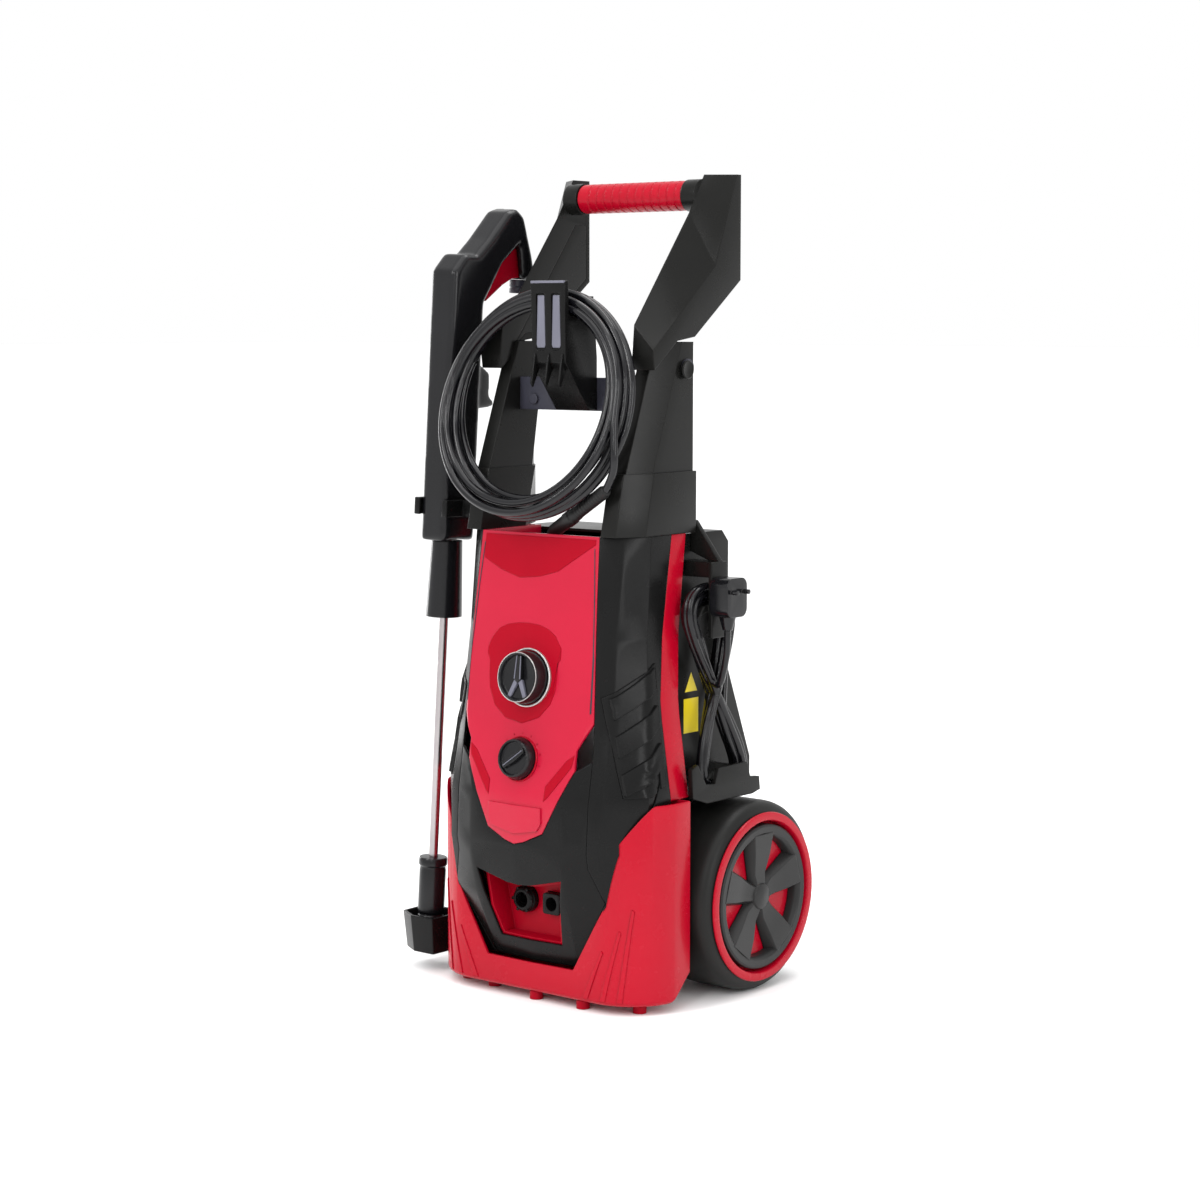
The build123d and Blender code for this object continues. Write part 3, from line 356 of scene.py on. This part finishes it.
# One row for each lap: the distance from the middle plane, an inset, and a slip along Y and Z.
HANK_LAPS = [
    (121.0, 1.0, 0, 0), (127.2, 0.5, 1, 0), (133.2, 0.0, 0, 1), (133.0, 7.5, 1, -1), (127.0, 8.0, -1, 1),
    (120.8, 8.5, 0, 0), (123.8, 14.0, 1, 1), (130.8, 13.5, 0, 0), (132.4, 3.6, -1, 0), (127.0, 4.0, 1, 1),
]
EYES = ((-50, 384), (-27, 250))
WAIST, WAIST_HALF, WAIST_PULL = 318, 12, 0.4  # height of the eight's crossing, where the laps pull in less
HANK_SKIP = 14  # points of the first lap that the run from the housing stands for
RELIEF_END = at(116, -2, 356)


def hank_point(index, along):
    """A point of the cable in its hank: the lap drawn in towards the nearer eye of the eight."""
    this_lap, next_lap = HANK_LAPS[index], HANK_LAPS[index + 1]
    x, inset, slip_y, slip_z = (a + (b - a) * along for a, b in zip(this_lap, next_lap))
    y, z = HANK_LAP[int(round(along * len(HANK_LAP))) % len(HANK_LAP)]
    eye = EYES[0] if z > WAIST else EYES[1]
    away = Vector((y - eye[0], z - eye[1]))
    pull = inset if abs(z - WAIST) > WAIST_HALF else inset * WAIST_PULL
    moved = away - away.normalized() * pull
    return at(x, eye[0] + moved.x + slip_y, eye[1] + moved.y + slip_z)


hank_points = []
for lap in range(len(HANK_LAPS) - 1):
    hank_points += [hank_point(lap, i / len(HANK_LAP)) for i in range(len(HANK_LAP))]
run_in = [RELIEF_END, at(116, -3, 332), at(120, -11, 308), at(124, -16, 290), at(123, -8, 268),
          at(122, 4, 248)]
run_out = [at(124, -58, 380), at(128, -52, 352), at(133, -48, 328), at(142, -48, 324), at(149, -51, 340),
           at(155, -54, 358), at(156, -54, 372), at(156, -54, 384)]
cable_points = run_in + hank_points[HANK_SKIP:] + run_out
cable = cord_line("mains_cable", cable_points, CABLE_D / 2, CABLE, "machine", 3)
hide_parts("cable_hank", "cable_run_housing", "cable_run_plug")

# Bend protector and coupling at the hose's loose end.
loose = basis(HOSE_LOOSE_END, at(1, -147, 481.5) - HOSE_LOOSE_END)
SLEEVE_RINGS, SLEEVE_PITCH = 11, 4.4
sleeve = [(4.3, -2), (5.6, -1)]
for ring in range(SLEEVE_RINGS):
    base = 2 + ring * SLEEVE_PITCH
    sleeve += [(6.2, base), (6.9, base + 1.2), (6.9, base + 3.0), (6.2, base + 3.4)]
sleeve += [(7.4, 53), (7.4, 60), (8.2, 61), (8.2, 71), (7.4, 73), (7.2, 97), (6.6, 98), (5.2, 98.4),
           (5.2, 103.6), (4.4, 104), (TINY, 104), (TINY, -2)]
fitting = lathe("hose_end", sleeve, loose, RUBBER, "machine", 40)
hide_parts("hose_fitting")

# Elbow strain relief, ribbed and tapered, where the cable leaves the housing.
elbow = [(TINY, 40.5), (4.6, 40.5), (5.5, 39), (5.6, 30), (5.0, 29), (5.5, 28), (5.4, 24), (4.9, 23),
         (5.3, 22), (5.2, 18), (4.7, 17), (5.1, 16), (5.0, 12), (4.5, 11), (4.9, 10), (4.8, 6), (4.2, 5),
         (4.4, 3), (3.8, 0), (TINY, 0)]
relief = lathe("cable_relief", elbow, basis(RELIEF_END, (0, 0, 1)), RUBBER, "machine", 36)
root = [(TINY, -4), (4.9, -4), (4.9, 1), (8.5, 1.2), (8.5, 2.6), (7.6, 3.4), (5.2, 3.6), (4.8, 11),
        (TINY, 11)]
lathe("cable_relief_root", root, basis(at(105, -2, 390), (1, 0, 0)), RUBBER, "machine", 36)
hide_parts("strain_relief")

# Crimped ferrule on the hose's inner end, which is tucked into the hook.
crimp = [(TINY, -9), (5.0, -9), (5.4, -8), (5.4, -1), (5.0, 0), (5.0, 5), (4.3, 6), (TINY, 6)]
inner_end = basis(coil_points[0], coil_points[1] - coil_points[0])
ferrule = lathe("hose_ferrule", crimp, inner_end, ZINC, "machine", 32)

plug = softened("mains_plug", 0.0012, CABLE, 3)

# ---------------------------------------------------------------- shells
for node, width, mat, slot, segments in (
    ("front_panel", 0.0012, PANEL_RED_PAINTED_SHEEN, "red_plastic", 3),
    ("front_trim", 0.0014, BLACK, "black_plastic", 3),
    # The socket recess's darker red is painted shade, on top of the shade its hollow gets.
    ("socket_recess", 0.0006, RED_DARK, "red_plastic", 2),
    ("side_covers", 0.0016, BLACK, "black_plastic", 3),
    ("side_strips", 0.0008, RED, "red_plastic", 2),
    ("lower_housing", 0.001, RED, "red_plastic", 2),
    ("rear_housing", 0.004, CHARCOAL, "rear_plastic", 3),
    ("columns", 0.003, CHARCOAL, "black_plastic", 3),
    ("collars", 0.0015, CHARCOAL, "black_plastic", 2),
    ("handle_arms", 0.0022, CHARCOAL, "black_plastic", 3),
    # The cross bar is black plastic; its lighter bluish colour is painted sheen.
    ("cross_bar", 0.0016, BLUISH, "black_plastic", 3),
    ("hose_hook", 0.0012, BLACK, "black_plastic", 3),
    ("cable_hook_upper", 0.0012, CHARCOAL, "rear_plastic", 3),
    ("cable_hook_lower", 0.0012, CHARCOAL, "rear_plastic", 3),
    ("trigger", 0.0012, RED, "red_plastic", 3),
    ("lance_cup", 0.0008, BLACK, "black_plastic", 3),
    ("gun_clip", 0.0008, BLACK, "black_plastic", 2),
    ("pressure_outlet", 0.0006, BLACK, "black_plastic", 2),
    ("switch_box", 0.0015, CHARCOAL, "black_plastic", 2),
    ("bayonet_sleeve", 0.0015, GUNBLACK, "black_plastic", 2),
):
    softened(node, width, mat, segments)


def rounded(node, voxel, passes, mat):
    """A CAD node's shape remeshed and smoothed, as a thick moulding with generous radii."""
    raw = bpy.data.objects.new(f"{node}_raw", NODES[node].data.copy())
    SCENE.collection.objects.link(raw)
    remesh = raw.modifiers.new("remesh", "REMESH")
    remesh.mode, remesh.voxel_size = "VOXEL", voxel
    bpy.context.view_layer.update()
    made = bpy.data.meshes.new_from_object(raw.evaluated_get(bpy.context.evaluated_depsgraph_get()))
    bpy.data.objects.remove(raw)
    bm = bmesh.new()
    bm.from_mesh(made)
    bpy.data.meshes.remove(made)
    every_axis = {"use_axis_x": True, "use_axis_y": True, "use_axis_z": True}
    for _ in range(passes):
        bmesh.ops.smooth_vert(bm, verts=bm.verts, factor=0.5, **every_axis)
    obj = from_bmesh(f"{node}_shell", bm, mat, BODY_OF[node], 60)
    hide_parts(node)


rounded("gun_shells", 0.0018, 9, GUNBLACK)

# ---------------------------------------------------------------- front panel details
MAIN_TILT, SMALL_TILT = math.radians(7.6), math.radians(12)
MAIN = basis(at(0, -183, 336), (0, -math.cos(MAIN_TILT), math.sin(MAIN_TILT)), (1, 0, 0))
SMALL = basis(at(0, -197.5, 254), (0, -math.cos(SMALL_TILT), math.sin(SMALL_TILT)), (1, 0, 0))
SIDES = ((-1, "left"), (1, "right"))
TREES = {}
# For each face that carries thin pieces: the way in, and where a line starts, in millimetres.
INWARD = {"front": Vector((0, 1, 0)), "right": Vector((-1, 0, 0)), "left": Vector((1, 0, 0))}
START = {"front": -320, "right": 260, "left": -260}
MISSED = 0.14  # where a line misses the node, its point goes this far in, in metres
SKIRT = 0.6  # how far a thin piece's rim runs into the node, in millimetres


def surface_hit(node, start, along):
    """Where a line meets a CAD node's surface, and the surface's normal there."""
    if node not in TREES:
        mesh = NODES[node].data
        TREES[node] = BVHTree.FromPolygons([v.co.copy() for v in mesh.vertices],
                                           [tuple(f.vertices) for f in mesh.polygons])
    where, normal, _, _ = TREES[node].ray_cast(start, along)
    return where, normal


def applique(name, outline, node, mat, lift, cuts=5, face="front"):
    """A thin piece on a CAD node's face, drawn as (across, up) points and raised by lift, in millimetres."""
    bm = bmesh.new()
    for x, z in outline:
        bm.verts.new((x / 1000, 0, z / 1000))
    bm.faces.new(bm.verts)
    bmesh.ops.triangulate(bm, faces=bm.faces)
    bmesh.ops.subdivide_edges(bm, edges=bm.edges, cuts=cuts, use_grid_fill=True)
    along, reach = INWARD[face], START[face]
    for v in bm.verts:
        across, up = v.co.x * 1000, v.co.z * 1000
        start = at(across, reach, up) if face == "front" else at(reach, across, up)
        where, normal = surface_hit(node, start, along)
        if where is None:
            where, normal = start + along * MISSED, -along
        v.co = where + normal * (lift / 1000)
    bmesh.ops.recalc_face_normals(bm, faces=bm.faces)
    if sum((f.normal.dot(along) for f in bm.faces)) > 0:
        bmesh.ops.reverse_faces(bm, faces=bm.faces)
    rim = bmesh.ops.extrude_face_region(bm, geom=bm.faces[:])
    for g in rim["geom"]:
        if isinstance(g, bmesh.types.BMVert):
            g.co += along * ((lift + SKIRT) / 1000)
    bmesh.ops.recalc_face_normals(bm, faces=bm.faces)
    return from_bmesh(name, bm, mat, "machine", 40)


brow = [(-72, 479), (-72, 454), (-48, 443), (-22, 436), (4, 438.5), (28, 445), (52, 460.5), (73.5, 474),
        (73.5, 479)]
applique("panel_brow", brow, "front_panel", RED_DARK, 0.4)
# The switch's recess is a raised sheet whose darker red is painted shade.
recess = [(-44.6, 383), (-33, 388), (-19, 390.5), (-4, 391), (10.4, 389.8), (22, 386), (31, 380),
          (39.6, 367.8), (40, 357), (36.6, 353), (37, 340), (36, 324), (31.1, 311.3), (18, 297), (-3, 289.5),
          (-26, 293), (-42.3, 304.7), (-51, 322), (-53, 336), (-54, 351), (-57.5, 356), (-57.5, 363),
          (-53, 373)]
applique("switch_recess", recess, "front_panel", RED_DARK, 0.5)
for side, word in SIDES:
    # Dark red facets at the panel's lower corners: painted shade of faces turned from the light.
    facet = [(69 * side, 264), (60 * side, 258), (37 * side, 230), (36.5 * side, 215), (41 * side, 219),
             (67 * side, 252)]
    applique(f"panel_facet_{word}", facet[::side], "front_panel", RED_DARK, 0.5)
    # A thin pale line just inside each side edge of the panel: painted highlight along the edge.
    line = [(73 * side, 470), (77 * side, 425), (81.3 * side, 360), (82.2 * side, 306), (81.2 * side, 306),
            (80.3 * side, 360), (76 * side, 425), (72.2 * side, 470)]
    applique(f"panel_edge_painted_highlight_{word}", line[::-side], "front_panel", BLUISH, 0.5, 2)
tablet = [(-34, 208), (34, 208), (35, 192), (30, 184), (1, 178.5), (-30, 184), (-35, 192)]
applique("panel_tablet", tablet, "front_panel", PANEL_RED_PAINTED_SHEEN, 2.2)

ring = [(27.9, 0.1), (28.2, 3.0), (29.4, 3.6), (30.2, 3.0), (30.4, 0.1)]
lathe("switch_ring", ring, MAIN, ZINC, "machine", 96)
dial = [(TINY, 1.0), (27.2, 1.0), (27.2, 5.0), (25.8, 17.6), (25.2, 18.8), (24.2, 19.2), (23.0, 18.4),
        (21.5, 14.8), (TINY, 13.0)]
main_knob = lathe("switch_dial", dial, MAIN, GUNBLACK, "main_switch", 96)
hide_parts("main_switch_knob")
lip = [(24.6, 19.0), (25.2, 19.5), (25.7, 19.0), (25.2, 18.6)]
lathe("switch_lip", lip, MAIN, ZINC, "main_switch", 96)
dial_floor, stem_top = raised(MAIN, 12.8), raised(MAIN, 18.1)
stem = [(-4.2, -3), (-3.0, 22), (3.0, 22), (4.2, -3), (0, -6)]
plate("switch_stem", stem, 5.4, dial_floor, GUNBLACK, "main_switch", 0.001, 3)
for side, word in SIDES:
    line = [(2.0 * side, 21.6), (3.0 * side, 21.6), (4.3 * side, -2), (2.9 * side, -2)]
    plate(f"switch_line_{word}", line[::side], 0.5, stem_top, PALE, "main_switch", 0)
    leg = [(0.4 * side, -5), (4.6 * side, -2), (12.6 * side, -19.4), (8.4 * side, -21.4)]
    plate(f"switch_leg_{word}", leg[::side], 4.2, dial_floor, PALE, "main_switch", 0.0008, 3)

dial = [(TINY, 1.0), (21.4, 1.0), (21.4, 4.0), (19.6, 11.0), (18.8, 12.2), (17.6, 12.0), (16.4, 8.4),
        (TINY, 7.6)]
small_knob = lathe("pressure_dial", dial, SMALL, GUNBLACK, "regulator", 80)
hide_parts("pressure_knob")
ring = [(21.8, 0.1), (22.0, 1.6), (22.9, 2.0), (23.6, 0.1)]
lathe("pressure_ring", ring, SMALL, RED, "machine", 80)
BAR_TURN, BAR_HEIGHT = math.radians(38), 4.6
bar_place = raised(SMALL, 7.4) @ Matrix.Rotation(BAR_TURN, 4, "Z")
bar = [(-15, -2.8), (-16, 0), (-15, 2.8), (0, 4.0), (15, 2.8), (16, 0), (15, -2.8), (0, -4.0)]
plate("pressure_bar", bar, BAR_HEIGHT, bar_place, GUNBLACK, "regulator", 0.0012, 3)
mark = [(-14, -0.5), (-14, 0.5), (14, 0.5), (14, -0.5)]
plate("pressure_mark", mark, 0.3, raised(bar_place, BAR_HEIGHT), PALE, "regulator", 0)
TICKS, TICK_FIRST, TICK_STEP = 9, -100, 25
tick_line = [(-0.3, -1.0), (-0.3, 1.0), (0.3, 1.0), (0.3, -1.0)]
for tick in range(TICKS):
    turn = math.radians(TICK_FIRST + TICK_STEP * tick)
    where = SMALL @ Matrix.Rotation(-turn, 4, "Z") @ Matrix.Translation((0, 0.0266, 0.0002))
    plate(f"dial_tick_{tick}", tick_line, 0.3, where, RED_DARK, "machine", 0)

# ---------------------------------------------------------------- flanks and base details
GILLS, GILL_TOP, GILL_STEP = 3, 350, 38
FLUTES = ((70, 94, 7, 64), (92, 112, 6, 86), (110, 123, 5, 108))  # foot, head, width and height of each
REAR_WALL = basis(at(0, -104, 0), (0, -1, 0), (1, 0, 0))
for side, word in SIDES:
    wing = [(-124, 354), (-124, 232), (-150, 222), (-172, 222), (-176, 322)]
    applique(f"flank_wing_{word}", wing, "side_covers", BLACK, 1.6, 5, word)
    for tier in range(GILLS):
        top = GILL_TOP - GILL_STEP * tier
        gill = [(-128, top), (-128, top - 22), (-150, top - 38), (-170, top - 50), (-170, top - 29),
                (-150, top - 16)]
        applique(f"flank_gill_{tier}_{word}", gill, "side_covers", BLACK, 4.2, 5, word)
    wall = [(82.5 * side, 14), (104 * side, 38), (128 * side, 112), (135 * side, 165), (137 * side, 213),
            (82.5 * side, 213)]
    plate(f"base_rear_wall_{word}", wall[::side], 2.0, REAR_WALL, RED, "machine")
    for index, (low, high, wide, top) in enumerate(FLUTES):
        flute = [(low * side, 14), ((low + wide) * side, 14), ((high + 2) * side, top),
                 (high * side, top + 2)]
        applique(f"base_flute_{index}_{word}", flute[::side], "lower_housing", RED, 1.1, 4)

# ---------------------------------------------------------------- sockets
INLET = basis(at(-20, -170, 101), (0, 1, 0))
LUGS = 6
socket = [(8.0, -2), (8.0, 30), (14, 30), (14, 3), (13, 2), (13, 0.4), (12.2, -0.6), (11, -2), (9.4, -2.6),
          (8.4, -2.6)]
inlet = lathe("inlet_socket", socket, INLET, BLACK, "machine", 60)
thread = [(8.0, 30), (11, 30), (11, 48), (8.0, 48)]
lathe("inlet_thread", thread, INLET, BLACK, "machine", 48)
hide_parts("water_inlet")
lug = [(10.4, -1.6), (10.4, 1.6), (13.9, 1.6), (13.9, -1.6)]
for turn in range(LUGS):
    where = raised(INLET @ Matrix.Rotation(math.radians(360 / LUGS * turn), 4, "Z"), -1.6)
    plate(f"inlet_lug_{turn}", lug, 2.0, where, BLACK, "machine", 0.0004)

# ---------------------------------------------------------------- handle grip
GRIP = basis(at(0, -5, 826), (1, 0, 0))
GRIP_HALF, GRIP_RIBS, RIB_FIRST, RIB_PITCH = 69, 12, -62, 10.33
profile = [(11.05, -GRIP_HALF), (14.0, -GRIP_HALF), (15.2, 1.5 - GRIP_HALF)]
for rib in range(GRIP_RIBS):
    start = RIB_FIRST + rib * RIB_PITCH
    profile += [(15.5, start), (15.5, start + 7.2), (14.7, start + 7.9), (14.7, start + 9.5),
                (15.5, start + 10.2)]
profile += [(15.2, GRIP_HALF - 1.5), (14.0, GRIP_HALF), (11.05, GRIP_HALF)]
grip = lathe("grip_sleeve", profile, GRIP, RED, "machine", 80)
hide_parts("handle_grip")

# ---------------------------------------------------------------- wheels
# Profiles are (radius, distance from the middle plane), from the wheel's axis at the height of its radius.
WHEEL_R = 100
COVER_BACK = 152.6
SPOKES, SPOKE_BACK = 5, 152.8
TYRE_SECTION = [
    (86, 90), (90, 88.4), (94, 88.2), (97, 90), (98.8, 94), (99.6, 99), (WHEEL_R, 106), (WHEEL_R, 146),
    (99.6, 151), (98.4, 155.6), (96.2, 159), (93.4, 161.2), (89.6, 162.6), (86, 163),
]
RIM_SECTION = [
    (6.1, 90), (16, 90), (18, 104), (18, 144), (24, 146.5), (60, 147), (74, 146), (80, 146), (80.5, 140),
    (82, 93), (83.5, 91.4), (85.9, 91.4), (85.9, 163.3), (88.4, 163.6), (88.8, 165), (88.0, 166.4), (84, 167),
    (80.6, 166.6), (79.4, 164), (78, 154), (74, 152), (18, 151.9), (16, 158), (6.1, 158),
]
COVER_SECTION = [
    (62.5, COVER_BACK), (63, 160), (64.5, 163.4), (67, 165.4), (73.5, 165.8), (75.6, 164.6), (76, 162),
    (76, COVER_BACK),
]
BOSS_SECTION = [(TINY, COVER_BACK), (15, COVER_BACK), (15, 160), (13, 163.4), (9, 165), (TINY, 165.4)]
# One row for each station along a spoke: radius, half width at the back, half width on top, and height.
SPOKE_ROWS = ((1, 12, 6, 160), (14, 12, 7, 162), (24, 14, 9, 160.5), (44, 18, 13, 164), (66, 22, 16.5, 165.8))


def spoke_piece(name, place, body):
    """One broad spoke of a wheel cover, along the place's Y."""
    bm = bmesh.new()
    rows = []
    for r, base, top, height in SPOKE_ROWS:
        section = ((-base, SPOKE_BACK), (-top - 1, height - 1.2), (-top, height), (top, height),
                   (top + 1, height - 1.2), (base, SPOKE_BACK))
        rows.append([bm.verts.new((u / 1000, r / 1000, h / 1000)) for u, h in section])
    count = len(rows[0])
    for a, b in zip(rows, rows[1:]):
        for i in range(count):
            bm.faces.new((a[i], a[(i + 1) % count], b[(i + 1) % count], b[i]))
    bm.faces.new(rows[0])
    bm.faces.new(rows[-1][::-1])
    bmesh.ops.recalc_face_normals(bm, faces=bm.faces)
    bm.transform(place)
    from_bmesh(name, bm, GREY, body, 20)


for side, word in reversed(SIDES):
    hub = basis(at(0, 0, WHEEL_R), (side, 0, 0), (0, 0, 1))
    body = f"wheel_{word}"
    tyre = lathe(f"tyre_{word}_skin", TYRE_SECTION, hub, TYRE, body, 128)
    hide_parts(f"tyre_{word}")
    wheel = lathe(f"rim_{word}_skin", RIM_SECTION, hub, RED, body, 128)
    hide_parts(f"wheel_rim_{word}")
    ring = lathe(f"cover_ring_{word}", COVER_SECTION, hub, GREY, body, 128)
    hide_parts(f"wheel_cover_{word}")
    lathe(f"cover_boss_{word}", BOSS_SECTION, hub, GREY, body, 60)
    for spoke in range(SPOKES):
        turn = -side * math.radians(90 + 360 / SPOKES * spoke)
        spoke_piece(f"cover_spoke_{spoke}_{word}", hub @ Matrix.Rotation(turn, 4, "Z"), body)

# ---------------------------------------------------------------- lance, nozzle and gun details
FOOT, HEAD = at(-178, -135, 100), at(-150, -120, 720)
LANCE = basis(FOOT, HEAD - FOOT, (1, 0, 0))
pipe = [(3.5, 10), (5.0, 10), (5.0, 385), (3.5, 385)]
tube = lathe("lance_pipe", pipe, LANCE, CHROME, "lance", 48)
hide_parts("lance_tube")
head = [(3.0, -74), (12.2, -74.6), (13.6, -73.4), (13.8, -60), (14.5, -58), (14.5, -44), (13.6, -43),
        (13.6, -41), (14.5, -40), (14.5, 6), (14.0, 8), (14.0, 10), (15.5, 12), (15.5, 18.4), (14.6, 20),
        (9, 20.4), (5.1, 20.4), (5.1, 10), (3.0, 9)]
nozzle = lathe("nozzle_head", head, LANCE, GUNBLACK, "nozzle", 64)
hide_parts("spray_nozzle")
coupling = [(5.5, 0), (8.8, 0), (9.4, 1), (9.4, 5), (8.6, 5.6), (8.6, 7), (9.4, 7.6), (9.4, 14), (8.8, 14.8),
            (5.5, 14.8)]
grip_foot = LANCE @ Matrix.Translation((0, 0.097, 0.63))
collar = lathe("gun_coupling", coupling, grip_foot, BLUISH, "lance", 48)
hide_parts("gun_inlet")

# ---------------------------------------------------------------- hook, cross bar and column details
# The hose hook's channels are black; their pale colour is painted highlight.
channel = [(-4.6, -27), (-5.8, -24), (-4.4, 26), (4.4, 26), (5.8, -24), (4.6, -27)]
button = [(TINY, 0), (9.5, 0), (9.5, 1.6), (8.6, 2.4), (7.2, 1.6), (TINY, 1.4)]
for side, word in SIDES:
    place = basis(at(10 * side, -149.4, 697), (0, -1, 0), (1, 0, 0))
    plate(f"hook_channel_{word}", channel, 1.0, place, PALE, "machine", 0.0004)
    place = basis(at(115.2 * side, -70, 648), (side, 0, 0))
    lathe(f"column_button_{word}", button, place, CHARCOAL, "machine", 48)
RIB_THICK = 2.4
rib = [(-144, 664), (-151.5, 664), (-157, 634), (-154, 630), (-144, 650)]
for index, x in enumerate((-18, 0, 18)):
    place = basis(at(x - RIB_THICK / 2, 0, 0), (1, 0, 0), (0, 1, 0))
    plate(f"hook_rib_{index}", rib, RIB_THICK, place, BLACK, "machine", 0.0006)
# The hook's lip is black as well; its pale colour is painted highlight.
lip = [(-22, 0), (-22, 2.6), (22, 2.6), (22, 0)]
place = basis(at(0, -149.8, 735), (0, -1, 0), (1, 0, 0))
plate("hook_lip", lip, 3.0, place, PALE, "machine", 0.0006)

# ---------------------------------------------------------------- labels on the right flank
LABELS = {"label_plate": [(-60, 273), (-35, 273), (-35, 309), (-60, 309)],
          "label_triangle": [(-58, 316), (-37, 316), (-47.5, 336)]}
for name, outline in LABELS.items():
    applique(name, outline, "rear_housing", YELLOW, 0.3, 1, "right")

# ---------------------------------------------------------------- nodes that keep their CAD shape
for node, mat in (
    ("feet", RED_DARK), ("chassis_plate", ZINC), ("handle_tube", ZINC), ("handle_screws", BLUISH),
    ("run_capacitor", CAN), ("motor_housing", CAST), ("motor_rotor", STEEL), ("motor_bearings", STEEL),
    ("cooling_fan", GREY), ("swash_plate", STEEL), ("pump_body", CAST), ("pistons", STEEL),
    ("pump_head", CAST), ("pump_bolts", ZINC), ("inlet_filter", STEEL), ("axle", ZINC),
    ("axle_washers_and_clips", ZINC), ("gun_valve", ZINC),
):
    NODES[node].data.materials.clear()
    NODES[node].data.materials.append(mat)

# ---------------------------------------------------------------- floor and light
FLOOR_HALF = 60.0
floor_mat = moulded("studio_floor", (0.9, 0.9, 0.9), 0.7, 200, 0.00005, 0.1, 0, 0.005)
bm = bmesh.new()
bmesh.ops.create_grid(bm, x_segments=2, y_segments=2, size=FLOOR_HALF)
floor_mesh = bpy.data.meshes.new("studio_floor")
bm.to_mesh(floor_mesh)
bm.free()
floor = bpy.data.objects.new("studio_floor", floor_mesh)
floor.location = (0, 0, -0.0002)
floor_mesh.materials.append(floor_mat)
SCENE.collection.objects.link(floor)
floor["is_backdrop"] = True


def soft_light(name, where, towards, size, power):
    """A rectangular lamp that points from one place towards another, in metres."""
    light = bpy.data.lights.new(name, "AREA")
    light.shape, light.energy = "RECTANGLE", power
    light.size, light.size_y = size
    obj = bpy.data.objects.new(name, light)
    obj.location = where
    obj.rotation_euler = (Vector(towards) - Vector(where)).to_track_quat("-Z", "Y").to_euler()
    SCENE.collection.objects.link(obj)


soft_light("key", (-0.6, -2.4, 2.0), (0, 0, 0.45), (0.5, 1.5), 30)
soft_light("right", (2.6, -0.6, 1.3), (0, 0, 0.4), (0.5, 1.8), 20)
soft_light("left_rim", (-2.2, 0.2, 1.0), (0, 0, 0.5), (0.5, 1.8), 20)
soft_light("top", (0, 0.8, 2.6), (0, 0, 0.4), (1.4, 0.8), 16)
soft_light("streak", (0.9, -2.1, 1.5), (0, 0, 0.5), (0.06, 1.3), 9)
sun = bpy.data.lights.new("overhead", "SUN")
sun.energy, sun.angle = 1.2, math.radians(60)
overhead = bpy.data.objects.new("overhead", sun)
overhead.rotation_euler = (math.radians(12), math.radians(6), 0)
SCENE.collection.objects.link(overhead)
world = bpy.data.worlds.new("studio")
world.use_nodes = True
world.node_tree.nodes["Background"].inputs["Color"].default_value = (1, 1, 1, 1)
world.node_tree.nodes["Background"].inputs["Strength"].default_value = 1.0
SCENE.world = world
SCENE.view_settings.view_transform = "Standard"

low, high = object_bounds()
